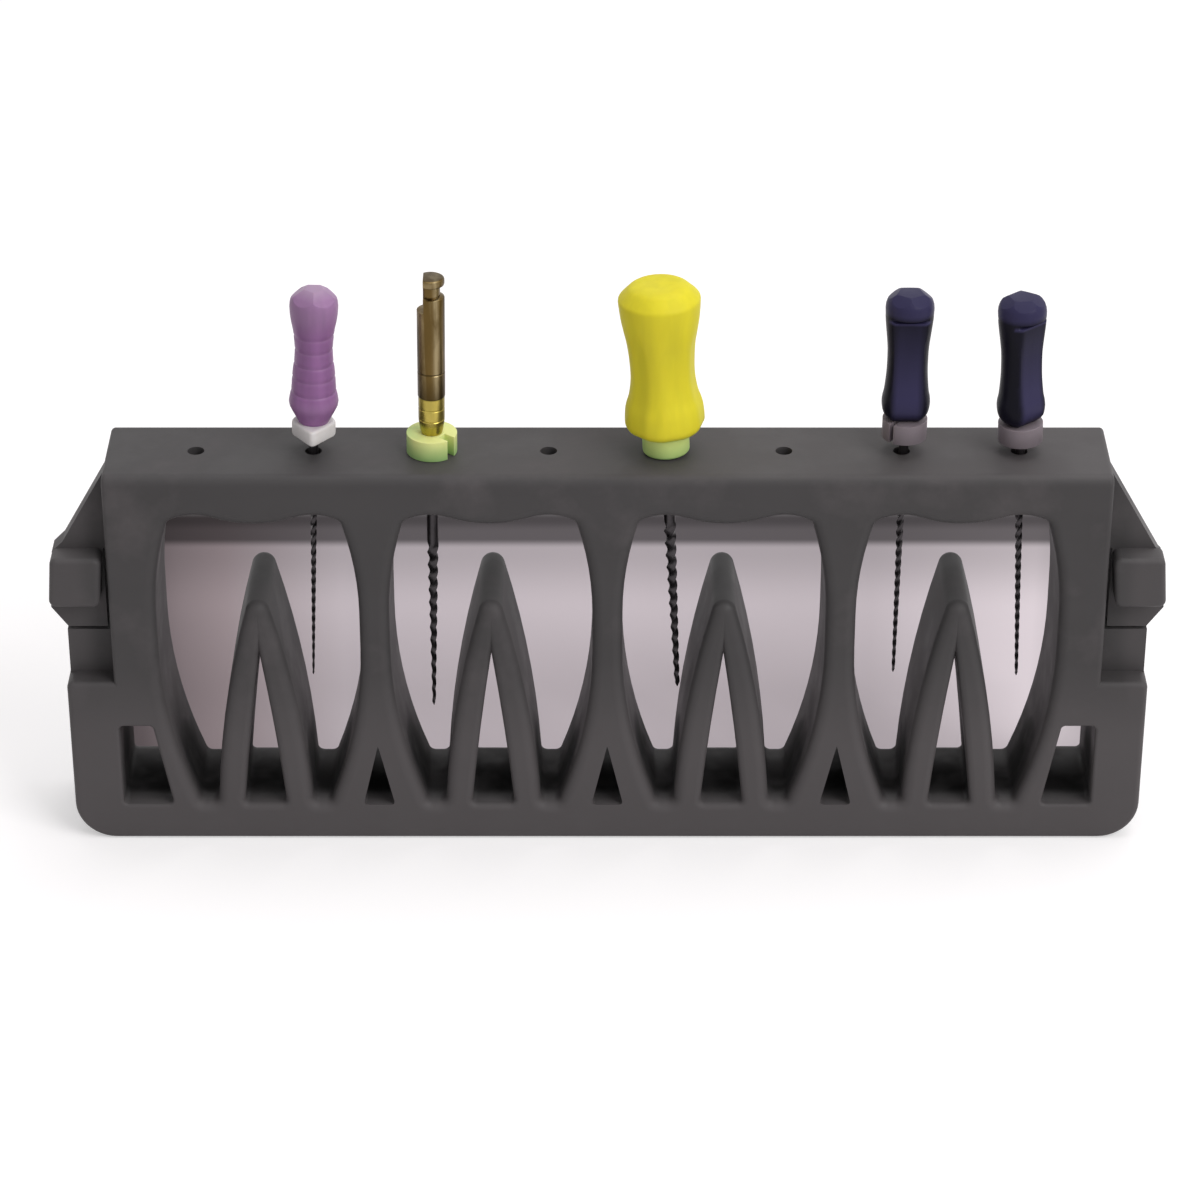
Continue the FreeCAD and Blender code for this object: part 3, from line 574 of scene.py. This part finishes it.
class FILEHOLDER_OT_stage(bpy.types.Operator):
    """Set the camera, the floor and the lamps"""
    bl_idname = "fileholder.stage"
    bl_label = "Stage"

    def execute(self, context):
        stage = context.scene.fileholder_stage
        self.place_camera(context, stage)
        self.lay_floor(stage)
        self.light(context, stage)
        self.surround(context, stage)
        return {"FINISHED"}

    def place_camera(self, context, stage):
        back = stage.distance * math.cos(stage.elevation)
        up = stage.distance * math.sin(stage.elevation)
        place = (stage.sideways, -back, stage.look_height + up)
        clear_selection()
        bpy.ops.object.camera_add(location=place, rotation=(math.pi / 2 - stage.elevation, 0, 0))
        camera = context.object
        camera.name = "camera"
        camera.data.sensor_width = 36.0
        camera.data.lens = stage.lens
        camera.data.clip_start = 0.01
        camera.data.clip_end = 20.0
        context.scene.camera = camera

    def lay_floor(self, stage):
        clear_selection()
        bpy.ops.mesh.primitive_plane_add(size=6.0, location=(0, 0, -0.00002))
        floor = bpy.context.object
        floor.name = "floor"
        bpy.ops.object.transform_apply(location=True, rotation=False, scale=False)
        nodes = Nodes("pale_floor")
        paper = nodes.noise(4, 2, label="Faint unevenness")
        tone = nodes.mix((paper, "Fac"), shade(stage.floor, 0.99), shade(stage.floor, 1.01), label="Paper")
        place = nodes.axes()
        spread = nodes.reckon("MULTIPLY_ADD", (place, "Y"), 3.2, 1.0, label="Spread with distance")
        width = nodes.reckon("DIVIDE", (place, "X"), spread, label="Sideways share")
        shaded = self.shade_behind(nodes, place, width)
        both = nodes.mix((shaded, 0), (tone, 2), (self.shade_tone(nodes, place, width, stage), 2),
                         label="Shaded paper")
        nodes.join(both, 2, nodes.shader, "Base Color")
        nodes.shader.inputs["Roughness"].default_value = 0.9
        nodes.shader.inputs["Specular IOR Level"].default_value = 0.1
        rays = nodes.add("ShaderNodeLightPath", "Which ray")
        seen = nodes.reckon("MAXIMUM", (rays, "Is Camera Ray"), (rays, "Is Glossy Ray"), label="Seen ray")
        lit = nodes.reckon("MULTIPLY", seen, nodes.reckon("SUBTRACT", 1.0, shaded), label="Open and seen")
        lift = nodes.reckon("MULTIPLY", lit, stage.lift, label="White lift")
        nodes.shader.inputs["Emission Color"].default_value = (1, 1, 1, 1)
        nodes.join(lift, 0, nodes.shader, "Emission Strength")
        floor.data.materials.append(nodes.material)

    def shade_behind(self, nodes, place, width):
        """Soft shade on the floor behind the holder: wide by its foot, and a little narrower further back."""
        limit = nodes.fade(place, "Y", 26 * MM, 40 * MM, 45.6 * MM, 41.9 * MM, label="Half width")
        across = nodes.reckon("ABSOLUTE", width, label="Either side")
        share = nodes.reckon("DIVIDE", across, limit, label="Share of the width")
        return nodes.product(
            nodes.fade(share, 0, 0.925, 1.0, 1.0, 0.0, label="Side edges"),
            nodes.fade(place, "Y", 53.8 * MM, 60 * MM, 1.0, 0.0, label="Far edge"),
            nodes.fade(place, "Y", 0.0, 8 * MM, label="Begins under the foot"))

    def shade_tone(self, nodes, place, width, stage):
        """The shade's colour: dark at the left, paler to the right, and deep far off, in the shelf's shade."""
        left, middle, right = tuple(stage.shade_left), tuple(stage.shade_middle), tuple(stage.shade_right)
        along = nodes.reckon("MULTIPLY_ADD", width, 10.0, 0.5, label="From left to right")
        tones = nodes.ramp(along, 0, [
            (0.05, shade(left, 0.30)), (0.09, shade(left, 0.45)), (0.13, shade(left, 0.90)),
            (0.17, shade(left, 1.20)), (0.27, shade(middle, 0.95)), (0.50, middle), (0.73, shade(middle, 0.84)),
            (0.87, right), (0.93, shade(right, 0.55))], label="Shade from left to right")
        far = nodes.product(
            nodes.fade(place, "Y", 8 * MM, 22 * MM, 1.20, 1.0, label="Paler by the foot"),
            nodes.fade(place, "Y", 35 * MM, 47.5 * MM, 1.0, 0.69, label="Deeper further back"),
            nodes.fade(place, "Y", 47.7 * MM, 49.6 * MM, 1.0, 0.26, label="Shelf's shade"),
            nodes.fade(place, "Y", 51.2 * MM, 53.4 * MM, 1.0, 0.60, label="Deepest shade"))
        deep = nodes.mix(1.0, (tones, "Color"), (0, 0, 0), label="Deeper far off", kind="MULTIPLY")
        nodes.join(far, 0, deep, 7)
        return deep

    def light(self, context, stage):
        for name, place, wide, high, power in (
                ("front_lamp", (0.42, -0.40, 0.52), 0.40, 0.40, stage.key),
                ("top_lamp", (0.15, 0.12, 0.80), 0.60, 0.60, stage.top)):
            clear_selection()
            bpy.ops.object.light_add(type="AREA", location=place)
            lamp = context.object
            lamp.name = name
            lamp.data.shape = "RECTANGLE"
            lamp.data.size = wide
            lamp.data.size_y = high
            lamp.data.energy = power
            aim = Vector((0, 0, 0.02)) - Vector(place)
            lamp.rotation_euler = aim.to_track_quat("-Z", "Y").to_euler()

    def surround(self, context, stage):
        """Soft light from all round, in a world that looks white."""
        world = bpy.data.worlds.new("studio")
        context.scene.world = world
        world.use_nodes = True
        tree = world.node_tree
        tree.nodes.clear()
        output = tree.nodes.new("ShaderNodeOutputWorld")
        blend = tree.nodes.new("ShaderNodeMixShader")
        around = tree.nodes.new("ShaderNodeBackground")
        around.inputs["Color"].default_value = (1.0, 0.985, 0.99, 1.0)
        around.inputs["Strength"].default_value = stage.fill
        white = tree.nodes.new("ShaderNodeBackground")
        white.inputs["Color"].default_value = (1, 1, 1, 1)
        rays = tree.nodes.new("ShaderNodeLightPath")
        first, second = tree.nodes.new("ShaderNodeMath"), tree.nodes.new("ShaderNodeMath")
        first.operation = second.operation = "MAXIMUM"
        for source, into in (
                (rays.outputs["Is Camera Ray"], first.inputs[0]), (rays.outputs["Is Glossy Ray"], first.inputs[1]),
                (rays.outputs["Is Transmission Ray"], second.inputs[1]), (first.outputs[0], second.inputs[0]),
                (second.outputs[0], blend.inputs["Fac"]), (around.outputs[0], blend.inputs[1]),
                (white.outputs[0], blend.inputs[2]), (blend.outputs[0], output.inputs["Surface"])):
            tree.links.new(source, into)
        context.scene.view_settings.view_transform = "Standard"


class FILEHOLDER_OT_holder(bpy.types.Operator):
    """Give the moulded holder its plastic"""
    bl_idname = "fileholder.holder"
    bl_label = "Holder"

    def execute(self, context):
        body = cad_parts["holder_body"]
        wear(body, moulded_plastic(context.scene.fileholder_holder))
        return {"FINISHED"}


class FILEHOLDER_OT_slim_grip(bpy.types.Operator):
    """Model the slim ringed grip"""
    bl_idname = "fileholder.slim_grip"
    bl_label = "Slim grip"

    def execute(self, context):
        knots = [(0.0, 1.30), (0.7, 1.64), (1.15, 1.87), (1.55, 2.05), (1.9, 2.10), (2.3, 2.04), (3.0, 1.90),
                 (3.9, 1.84), (4.9, 1.76), (5.6, 1.66), (6.7, 1.60), (7.6, 1.65), (8.6, 1.76), (9.3, 1.90),
                 (10.0, 2.00), (10.7, 2.045)]
        rings = cut_grooves(smooth_side(knots, 0.3), [2.9 + 1.3 * i for i in range(5)], 0.07, 0.20)
        rings += dome_rings(rings[-1], 12.3, 1.05)
        grip = raise_rings("purple_grip", rings, 56)
        begin_edit()
        facet_crown(5, 1.83, 11.42, 38, 20, 0.10)
        end_edit()
        soften()
        # Painted highlights: a pale line on the upward lower wall of each groove, paler towards the head and on its
        # top, and a faint pale band on the bulge.
        paint(grip, lambda x, y, z: 0.16 * max(0.0, 1 - (z - 2.72) / 1.3 % 1.0 * 5) * (2.6 < z < 8.6)
              + 0.20 * max(0.0, min(1.0, (z - 8.5) / 2.0)) + 0.35 * max(0.0, min(1.0, (z - 11.8) / 0.3))
              + 0.12 * max(0.0, 1 - abs(z - 1.7) / 1.0))
        hang(grip, "purple")
        grips = context.scene.fileholder_grips
        skin = grip_plastic("purple_plastic_skin", tuple(grips.purple), tuple(grips.purple_highlight), roughness=0.45,
                            grain_strength=0.25, sheer=0.10, gloss=0.35, sway=0.14)
        wear(grip, skin)
        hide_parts("purple_handle")
        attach(grip, HOLDER)
        return {"FINISHED"}


def smooth_side(knots, step):
    """Rings on a smooth curve through the knots of a grip's side."""
    rings = [knots[0]]
    last = len(knots) - 1
    slopes = []
    for i in range(last + 1):
        low = knots[max(0, i - 1)]
        high = knots[min(last, i + 1)]
        slopes.append((high[1] - low[1]) / (high[0] - low[0]))
    for i in range(last):
        (z0, r0), (z1, r1) = knots[i], knots[i + 1]
        span = z1 - z0
        count = max(1, int(round(span / step)))
        for j in range(1, count + 1):
            t = j / count
            radius = ((2 * t ** 3 - 3 * t ** 2 + 1) * r0 + (t ** 3 - 2 * t ** 2 + t) * span * slopes[i]
                      + (3 * t ** 2 - 2 * t ** 3) * r1 + (t ** 3 - t ** 2) * span * slopes[i + 1])
            rings.append((z0 + span * t, radius))
    return rings


def cut_grooves(rings, heights, depth, half):
    """Sink narrow grooves into a side: the rings near each height give way to the groove's own."""

    def radius_at(height):
        for (z0, r0), (z1, r1) in zip(rings, rings[1:]):
            if z0 <= height <= z1:
                return r0 + (r1 - r0) * (height - z0) / (z1 - z0)

    sunk = [ring for ring in rings if min(abs(ring[0] - height) for height in heights) > 1.2 * half]
    for height in heights:
        floor = radius_at(height) - depth
        sunk += [(height - half, radius_at(height - half)), (height - 0.25 * half, floor),
                 (height + 0.25 * half, floor), (height + half, radius_at(height + half))]
    return sorted(sunk)


class FILEHOLDER_OT_big_grip(bpy.types.Operator):
    """Model the big grip with its soft flats and chamfered head"""
    bl_idname = "fileholder.big_grip"
    bl_label = "Big grip"

    def execute(self, context):
        knots = [(0.0, 2.20), (0.4, 2.95), (0.85, 3.33), (1.3, 3.40), (2.0, 3.36), (2.6, 3.29), (3.1, 3.16),
                 (3.6, 2.99), (4.3, 2.85), (5.2, 2.74), (6.1, 2.73), (7.5, 2.81), (8.6, 2.94), (9.9, 3.18),
                 (11.0, 3.35), (12.1, 3.46)]
        rings = smooth_side(knots, 0.3)
        sides = list(rings)
        rings += [(12.35, 3.47), (12.50, 3.45), (12.62, 3.38), (12.75, 3.27), (13.30, 2.72), (13.44, 2.57),
                  (13.56, 2.38), (13.65, 2.10), (13.69, 1.75), (13.7, 1.2)]
        grip = raise_rings("yellow_grip", rings, 72)
        begin_edit()
        press_flats(sides, 6, lambda z, r: r - 0.13 * min(1, max(0, (11.4 - z) / 3.0)), 11.4)
        end_edit()
        soften(50)
        paint(grip, lambda x, y, z: 0.8 * max(0.0, 1 - z / 0.8))
        hang(grip, "yellow", 15)
        grips = context.scene.fileholder_grips
        skin = grip_plastic("yellow_plastic_skin", tuple(grips.yellow), tuple(grips.yellow_rim), roughness=0.50,
                            grain_strength=0.05, sheer=0.30, gloss=0.20, sway=0.05)
        wear(grip, skin)
        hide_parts("yellow_handle")
        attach(grip, HOLDER)
        return {"FINISHED"}


FLATS_TOP = 9.5  # where a flat-sided grip's flats end in a lip, over its lower end


def painted_light_share(x, y, z):
    """How much painted light a flat-sided grip has: a painted reflection on its flats, more so low down, and
    painted highlights along their top lip and on the head.
    """
    lip = max(0.0, 1 - abs(z - FLATS_TOP) / 0.14) * (abs(y) > 1.0)
    if z > 9.8:
        return 0.55 * min(1.0, (z - 9.8) / 0.4)
    flat = max(0.0, min(1.0, (1.45 - abs(x)) / 0.6)) * (abs(y) > 1.1)
    rise = max(0.12, min(0.62, 0.62 - (z - 3.2) * 0.085)) * min(1.0, z / 1.2)
    return max(lip, flat * rise)


class FILEHOLDER_OT_flat_grips(bpy.types.Operator):
    """Model the flat-sided grip once and hang it twice"""
    bl_idname = "fileholder.flat_grips"
    bl_label = "Flat-sided grips"

    def execute(self, context):
        knots = [(0.0, 1.30), (0.3, 1.66), (0.65, 1.90), (1.1, 2.01), (1.6, 2.05), (2.1, 2.00), (2.5, 1.91),
                 (3.3, 1.82), (4.4, 1.74), (5.5, 1.72), (6.6, 1.74), (7.6, 1.83), (8.5, 1.93), (9.2, 2.0),
                 (9.46, 2.02), (9.60, 2.02), (9.74, 2.02), (9.84, 2.03), (10.3, 2.05)]
        rings = smooth_side(knots, 0.25)
        sides = list(rings)
        rings += dome_rings(rings[-1], 11.65, 1.0)
        grip = raise_rings("navy_left_grip", rings, 56)
        begin_edit()
        press_flats(sides, 2, lambda z, r: r - (0.5 if z < FLATS_TOP else 0.78), FLATS_TOP + 0.25)
        facet_crown(5, 1.74, 11.1, 36, 18, 0.12)
        end_edit()
        soften()
        # Painted reflection on the flats and painted highlights on the lip and the head.
        paint(grip, painted_light_share)
        twin = copy_piece(grip, "navy_right_grip")
        grips = context.scene.fileholder_grips
        skin = grip_plastic("navy_plastic_skin", tuple(grips.navy), tuple(grips.navy_painted_light), roughness=0.38,
                            grain_strength=0.35, sheer=0.0, gloss=0.10, sway=0.45)
        for piece, name, turn in ((grip, "navy_left", 0), (twin, "navy_right", 38)):
            hang(piece, name, turn)
            wear(piece, skin)
            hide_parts(name + "_handle")
            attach(piece, HOLDER)
        return {"FINISHED"}


# The latch shank, in millimetres over its lower end or from its axis
COLLAR_TOP = 3.45
LATCH_LOW = 11.49
LATCH_FLAT = -0.62


class FILEHOLDER_OT_latch_shank(bpy.types.Operator):
    """Model the engine file's brass shank"""
    bl_idname = "fileholder.latch_shank"
    bl_label = "Latch shank"

    def execute(self, context):
        rings = [(0.0, 0.90), (0.35, 0.98), (1.22, 1.11), (1.28, 1.11), (1.34, 1.07), (1.42, 1.12), (2.3, 1.12),
                 (2.36, 1.09), (2.44, 1.09), (2.5, 1.12), (3.35, 1.12), (3.45, 1.11), (3.52, 1.165), (5.70, 1.17),
                 (5.76, 1.12), (5.84, 1.12), (5.90, 1.17), (9.0, 1.175), (11.46, 1.175), (11.50, 1.175),
                 (12.60, 1.175), (12.70, 1.14), (12.79, 1.0), (12.82, 0.80), (13.72, 0.80), (13.75, 1.0),
                 (13.84, 1.13), (13.95, 1.17), (14.28, 1.17), (14.40, 1.12), (14.47, 1.0), (14.5, 0.55)]
        shank = raise_rings("gold_latch_shank", rings, 48)
        begin_edit()
        pick_all()
        for height, radius in rings:
            level = height * MM
            if height > LATCH_LOW and pick_points(
                    lambda co: abs(co.z - level) < SAME_LEVEL and co.x < LATCH_FLAT * MM):
                bpy.ops.transform.resize(value=(0, 1, 1), center_override=(LATCH_FLAT * MM, 0, 0))
        end_edit()
        soften(25)
        # Dark in the grooves, in a band low on the collar, at the neck under the head and on the head's top; along
        # the left and right edges this dark is painted shade.
        paint(shank, lambda x, y, z: max(
            0.0, 1 - abs(z - 3.48) / 0.12, 1 - abs(z - 5.8) / 0.1, 1 - abs(z - 0.95) / 0.45,
            0.8 - abs(z - 13.3) / 0.6, 0.9 * (x < -0.98) * (z < 11.4), 0.6 * (x > 1.08), 0.55 * (z > 14.43)))
        # Painted reflections: paler streaks down the shank, and a painted highlight round the head.
        paint(shank, lambda x, y, z: max(
            0.0, 0.9 - abs(x - 0.45) / 0.38, 0.45 - abs(x + 0.78) / 0.5, 1 - abs(z - 14.1) / 0.35), "streak")
        hang(shank, "gold")
        grips = context.scene.fileholder_grips
        brass = turned_brass("tarnished_brass", tuple(grips.brass), tuple(grips.brass_reflection), 0.26)
        wear(shank, brass)
        collar = tuple(grips.collar)
        shank.data.materials.append(turned_brass("bright_collar", collar, shade(collar, 1.3), 0.24))
        base = FILES["gold"]["base"]
        low, high = base * MM, (base + COLLAR_TOP) * MM
        for face in shank.data.polygons:
            if low < face.center.z < high:
                face.material_index = 1
        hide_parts("gold_shank")
        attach(shank, HOLDER)
        return {"FINISHED"}


def twisted_blade(name, sizes, settings):
    """Draw a round wire out into a twisted, tapering blade, one turned section after another."""
    top, lead = 3.9, 0.5  # where the wire starts inside the grip, and how long its narrowing is
    shaft, shaft_end, end = sizes["shaft"], sizes["shaft_end"], sizes["end"]
    first, sides = sizes["first"], sizes["sides"]
    clear_selection()
    bpy.ops.mesh.primitive_circle_add(
        vertices=sides * 4, radius=shaft * MM, fill_type="NGON", location=(0, 0, top * MM))
    wire = bpy.context.object
    wire.name = name
    bpy.ops.object.transform_apply(location=True, rotation=False, scale=False)
    begin_edit()
    pick_all()
    draw_out(shaft_end - top)
    draw_out(-lead)
    level = shaft_end - lead
    widen(first / shaft, level)
    press_flutes(sides, level, settings.flute)
    step_turn = settings.turn_step
    bumps = (level - end) / sizes["bump"]
    steps = int(round(bumps * (2 * math.pi / sides) / step_turn))
    drop = (level - end) / steps
    radius = first
    for i in range(1, steps + 1):
        wanted = first + (sizes["tip"] - first) * (i / steps)
        draw_out(-drop)
        level -= drop
        widen(wanted / radius, level)
        bpy.ops.transform.rotate(value=step_turn, orient_axis="Z", center_override=(0, 0, level * MM))
        radius = wanted
    draw_out(-2 * radius)
    level -= 2 * radius
    widen(0.15, level)
    face_outward()
    soften(40)
    return wire


def press_flutes(sides, level, depth):
    """Press the flutes in between the cutting edges of the section that is being drawn."""
    spread = math.pi / sides
    piece = bpy.context.object
    mesh = bmesh.from_edit_mesh(piece.data)
    for point in mesh.verts:
        if point.select:
            angle = math.atan2(point.co.y, point.co.x) % (2 * spread)
            away = 1 - abs(angle - spread) / spread
            point.co.xy = point.co.xy * (1 - depth * math.sin(away * math.pi / 2))
    bmesh.update_edit_mesh(piece.data)


class FILEHOLDER_OT_blades(bpy.types.Operator):
    """Draw the five twisted blades"""
    bl_idname = "fileholder.blades"
    bl_label = "Blades"

    def execute(self, context):
        settings = context.scene.fileholder_blades
        steel = ground_steel(settings)
        sizes = {
            "purple": {"shaft": 0.40, "first": 0.29, "tip": 0.10, "bump": 0.94, "sides": 4, "end": -24.9,
                       "shaft_end": -8.6},
            "gold": {"shaft": 0.50, "first": 0.50, "tip": 0.16, "bump": 1.25, "sides": 3, "end": -26.8,
                     "shaft_end": -10.6},
            "yellow": {"shaft": 0.52, "first": 0.54, "tip": 0.24, "bump": 1.2, "sides": 3, "end": -24.8,
                       "shaft_end": -8.6},
            "navy_left": {"shaft": 0.42, "first": 0.33, "tip": 0.15, "bump": 1.0, "sides": 4, "end": -24.8,
                          "shaft_end": -8.6},
        }
        made = {name: twisted_blade(name + "_wire", data, settings) for name, data in sizes.items()}
        made["navy_right"] = copy_piece(made["navy_left"], "navy_right_wire")
        for name, wire in made.items():
            hang(wire, name)
            wear(wire, steel)
            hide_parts(name + "_blade")
            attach(wire, HOLDER)
        return {"FINISHED"}


STOP_TOP = -0.02  # a stop's top, just under its grip's lower end


def round_stop(name, radius, bore, height, settings, slot=None):
    """Silicone ring with rounded rims, its hole and, on some, a slot of (turn, width) in one side."""
    middle = (STOP_TOP - height / MM + STOP_TOP) / 2 * MM
    clear_selection()
    bpy.ops.mesh.primitive_cylinder_add(
        vertices=64, radius=radius * MM, depth=height, location=(0, 0, middle))
    stop = bpy.context.object
    stop.name = name
    bpy.ops.object.transform_apply(location=True, rotation=False, scale=False)
    cutters = [bore_cutter(bore, height, middle)]
    if slot:
        angle = math.radians(slot[0])
        reach = (radius - 0.1) * MM
        bpy.ops.mesh.primitive_cube_add(
            size=1, location=(reach * math.cos(angle), reach * math.sin(angle), middle),
            rotation=(0, 0, angle), scale=(2.0 * MM, slot[1] * MM, 3 * height))
        cutters.append(bpy.context.object)
    carve(stop, cutters)
    round_rims(stop, settings.edge, 50)
    return stop


def bore_cutter(bore, height, middle):
    """A cylinder that cuts a stop's hole."""
    bpy.ops.mesh.primitive_cylinder_add(vertices=40, radius=bore * MM, depth=3 * height, location=(0, 0, middle))
    return bpy.context.object


def carve(piece, cutters):
    """Cut the cutters out of a piece and remove them."""
    for cutter in cutters:
        work_on(piece)
        cut = piece.modifiers.new("cut", "BOOLEAN")
        cut.operation = "DIFFERENCE"
        cut.solver = "EXACT"
        cut.object = cutter
        bpy.ops.object.modifier_apply(modifier=cut.name)
        bpy.data.objects.remove(cutter)


def round_rims(stop, width, angle):
    """Round the edges that are sharper than the angle in degrees."""
    work_on(stop)
    bevel = stop.modifiers.new("rounded_rims", "BEVEL")
    bevel.width = width
    bevel.segments = 4
    bevel.limit_method = "ANGLE"
    bevel.angle_limit = math.radians(angle)
    bpy.ops.object.modifier_apply(modifier=bevel.name)
    soften(35)


def pointed_stop(name, reach, bore, settings):
    """Stop with a narrowed back and a pointed front, drawn as a disc whose corners are pulled out."""
    height = settings.pointed_height
    low = STOP_TOP - height / MM
    clear_selection()
    bpy.ops.mesh.primitive_circle_add(
        vertices=5, radius=reach * MM, fill_type="NGON", location=(0, 0, low * MM), rotation=(0, 0, math.pi))
    stop = bpy.context.object
    stop.name = name
    bpy.ops.object.transform_apply(location=True, rotation=True, scale=True)
    corners = [(0, -1.3), (1, 0), (0.6, 0.8), (-0.6, 0.8), (-1, 0)]
    begin_edit()
    mesh = bmesh.from_edit_mesh(stop.data)
    around = sorted(mesh.verts, key=lambda point: (math.atan2(point.co.x, -point.co.y) + 0.01) % (2 * math.pi))
    for point, (x, y) in zip(around, corners):
        point.co.xy = (x * reach * MM, y * reach * MM)
    bmesh.update_edit_mesh(stop.data)
    pick_all()
    bpy.ops.mesh.bevel(offset=0.5 * MM, segments=5, affect="VERTICES", clamp_overlap=True)
    pick_all()
    draw_out(height / MM)
    face_outward()
    carve(stop, [bore_cutter(bore, height, (low + STOP_TOP) / 2 * MM)])
    round_rims(stop, settings.edge, 30)
    return stop


class FILEHOLDER_OT_stops(bpy.types.Operator):
    """Model the five silicone stops"""
    bl_idname = "fileholder.stops"
    bl_label = "Silicone stops"

    def execute(self, context):
        settings = context.scene.fileholder_stops
        tall, short = settings.height, settings.grey_height
        rim = tuple(settings.green_painted_shade)
        white = silicone("white_silicone_skin", tuple(settings.white), shade(settings.white, 0.75))
        green = silicone("green_silicone_skin", tuple(settings.green), rim)
        pale_green = silicone("pale_green_silicone_skin", tuple(settings.pale_green), rim)
        grey = silicone("grey_silicone_skin", tuple(settings.grey), shade(settings.grey, 0.65))
        made = (
            ("purple", pointed_stop("purple_pointed_stop", 2.0, 0.43, settings), white, "white_silicone"),
            ("gold", round_stop("gold_slotted_stop", 2.15, 0.53, tall, settings, (-38, 0.85)), green,
             "green_silicone"),
            ("yellow", round_stop("yellow_round_stop", 2.0, 0.55, tall, settings), pale_green, "green_silicone"),
            ("navy_left", round_stop("navy_left_slotted_stop", 1.9, 0.45, short, settings, (230, 0.4)), grey,
             "grey_silicone"),
            ("navy_right", round_stop("navy_right_slotted_stop", 1.9, 0.45, short, settings, (60, 0.4)), grey,
             "grey_silicone"),
        )
        sliding = ("purple", "navy_left", "navy_right")
        for name, stop, skin, slot in made:
            # Painted shade: a deeper tone along each stop's lower edge and on its left side, away from the front
            # lamp.
            paint(stop, lambda x, y, z: 0.8 * max(0.0, 1 - (z + 1.8) / 0.5, -x - 1.5))
            hang(stop, name)
            wear(stop, skin)
            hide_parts(name + "_stop")
            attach(stop, name + "_stop" if name in sliding else HOLDER)
        return {"FINISHED"}


class FILEHOLDER_PT_panel(bpy.types.Panel):
    """Lists the pieces, their sizes and their colours"""
    bl_idname = "FILEHOLDER_PT_panel"
    bl_label = "File Holder"
    bl_space_type = "VIEW_3D"
    bl_region_type = "UI"
    bl_category = "File Holder"

    def draw(self, context):
        for group, operators in PANEL_ROWS:
            box = self.layout.box()
            settings = getattr(context.scene, group)
            for name in settings.__annotations__:
                box.prop(settings, name)
            for operator in operators:
                box.operator(operator.bl_idname)


PANEL_ROWS = (
    ("fileholder_stage", (FILEHOLDER_OT_stage,)),
    ("fileholder_holder", (FILEHOLDER_OT_holder,)),
    ("fileholder_grips", (FILEHOLDER_OT_slim_grip, FILEHOLDER_OT_big_grip, FILEHOLDER_OT_flat_grips,
                          FILEHOLDER_OT_latch_shank)),
    ("fileholder_blades", (FILEHOLDER_OT_blades,)),
    ("fileholder_stops", (FILEHOLDER_OT_stops,)),
)

GROUPS = {
    "fileholder_stage": StageSettings,
    "fileholder_holder": HolderFinish,
    "fileholder_grips": GripFinish,
    "fileholder_blades": BladeFinish,
    "fileholder_stops": StopFinish,
}

CLASSES = tuple(GROUPS.values()) + (
    FILEHOLDER_OT_stage, FILEHOLDER_OT_holder, FILEHOLDER_OT_slim_grip, FILEHOLDER_OT_big_grip,
    FILEHOLDER_OT_flat_grips, FILEHOLDER_OT_latch_shank, FILEHOLDER_OT_blades, FILEHOLDER_OT_stops,
    FILEHOLDER_PT_panel)


def register():
    for each in CLASSES:
        bpy.utils.register_class(each)
    for name, group in GROUPS.items():
        setattr(bpy.types.Scene, name, bpy.props.PointerProperty(type=group))


def unregister():
    for name in GROUPS:
        delattr(bpy.types.Scene, name)
    for each in reversed(CLASSES):
        bpy.utils.unregister_class(each)


def main():
    register()
    bpy.ops.fileholder.stage()
    bpy.ops.fileholder.holder()
    bpy.ops.fileholder.slim_grip()
    bpy.ops.fileholder.big_grip()
    bpy.ops.fileholder.flat_grips()
    bpy.ops.fileholder.latch_shank()
    bpy.ops.fileholder.blades()
    bpy.ops.fileholder.stops()


if __name__ == "__main__":
    main()
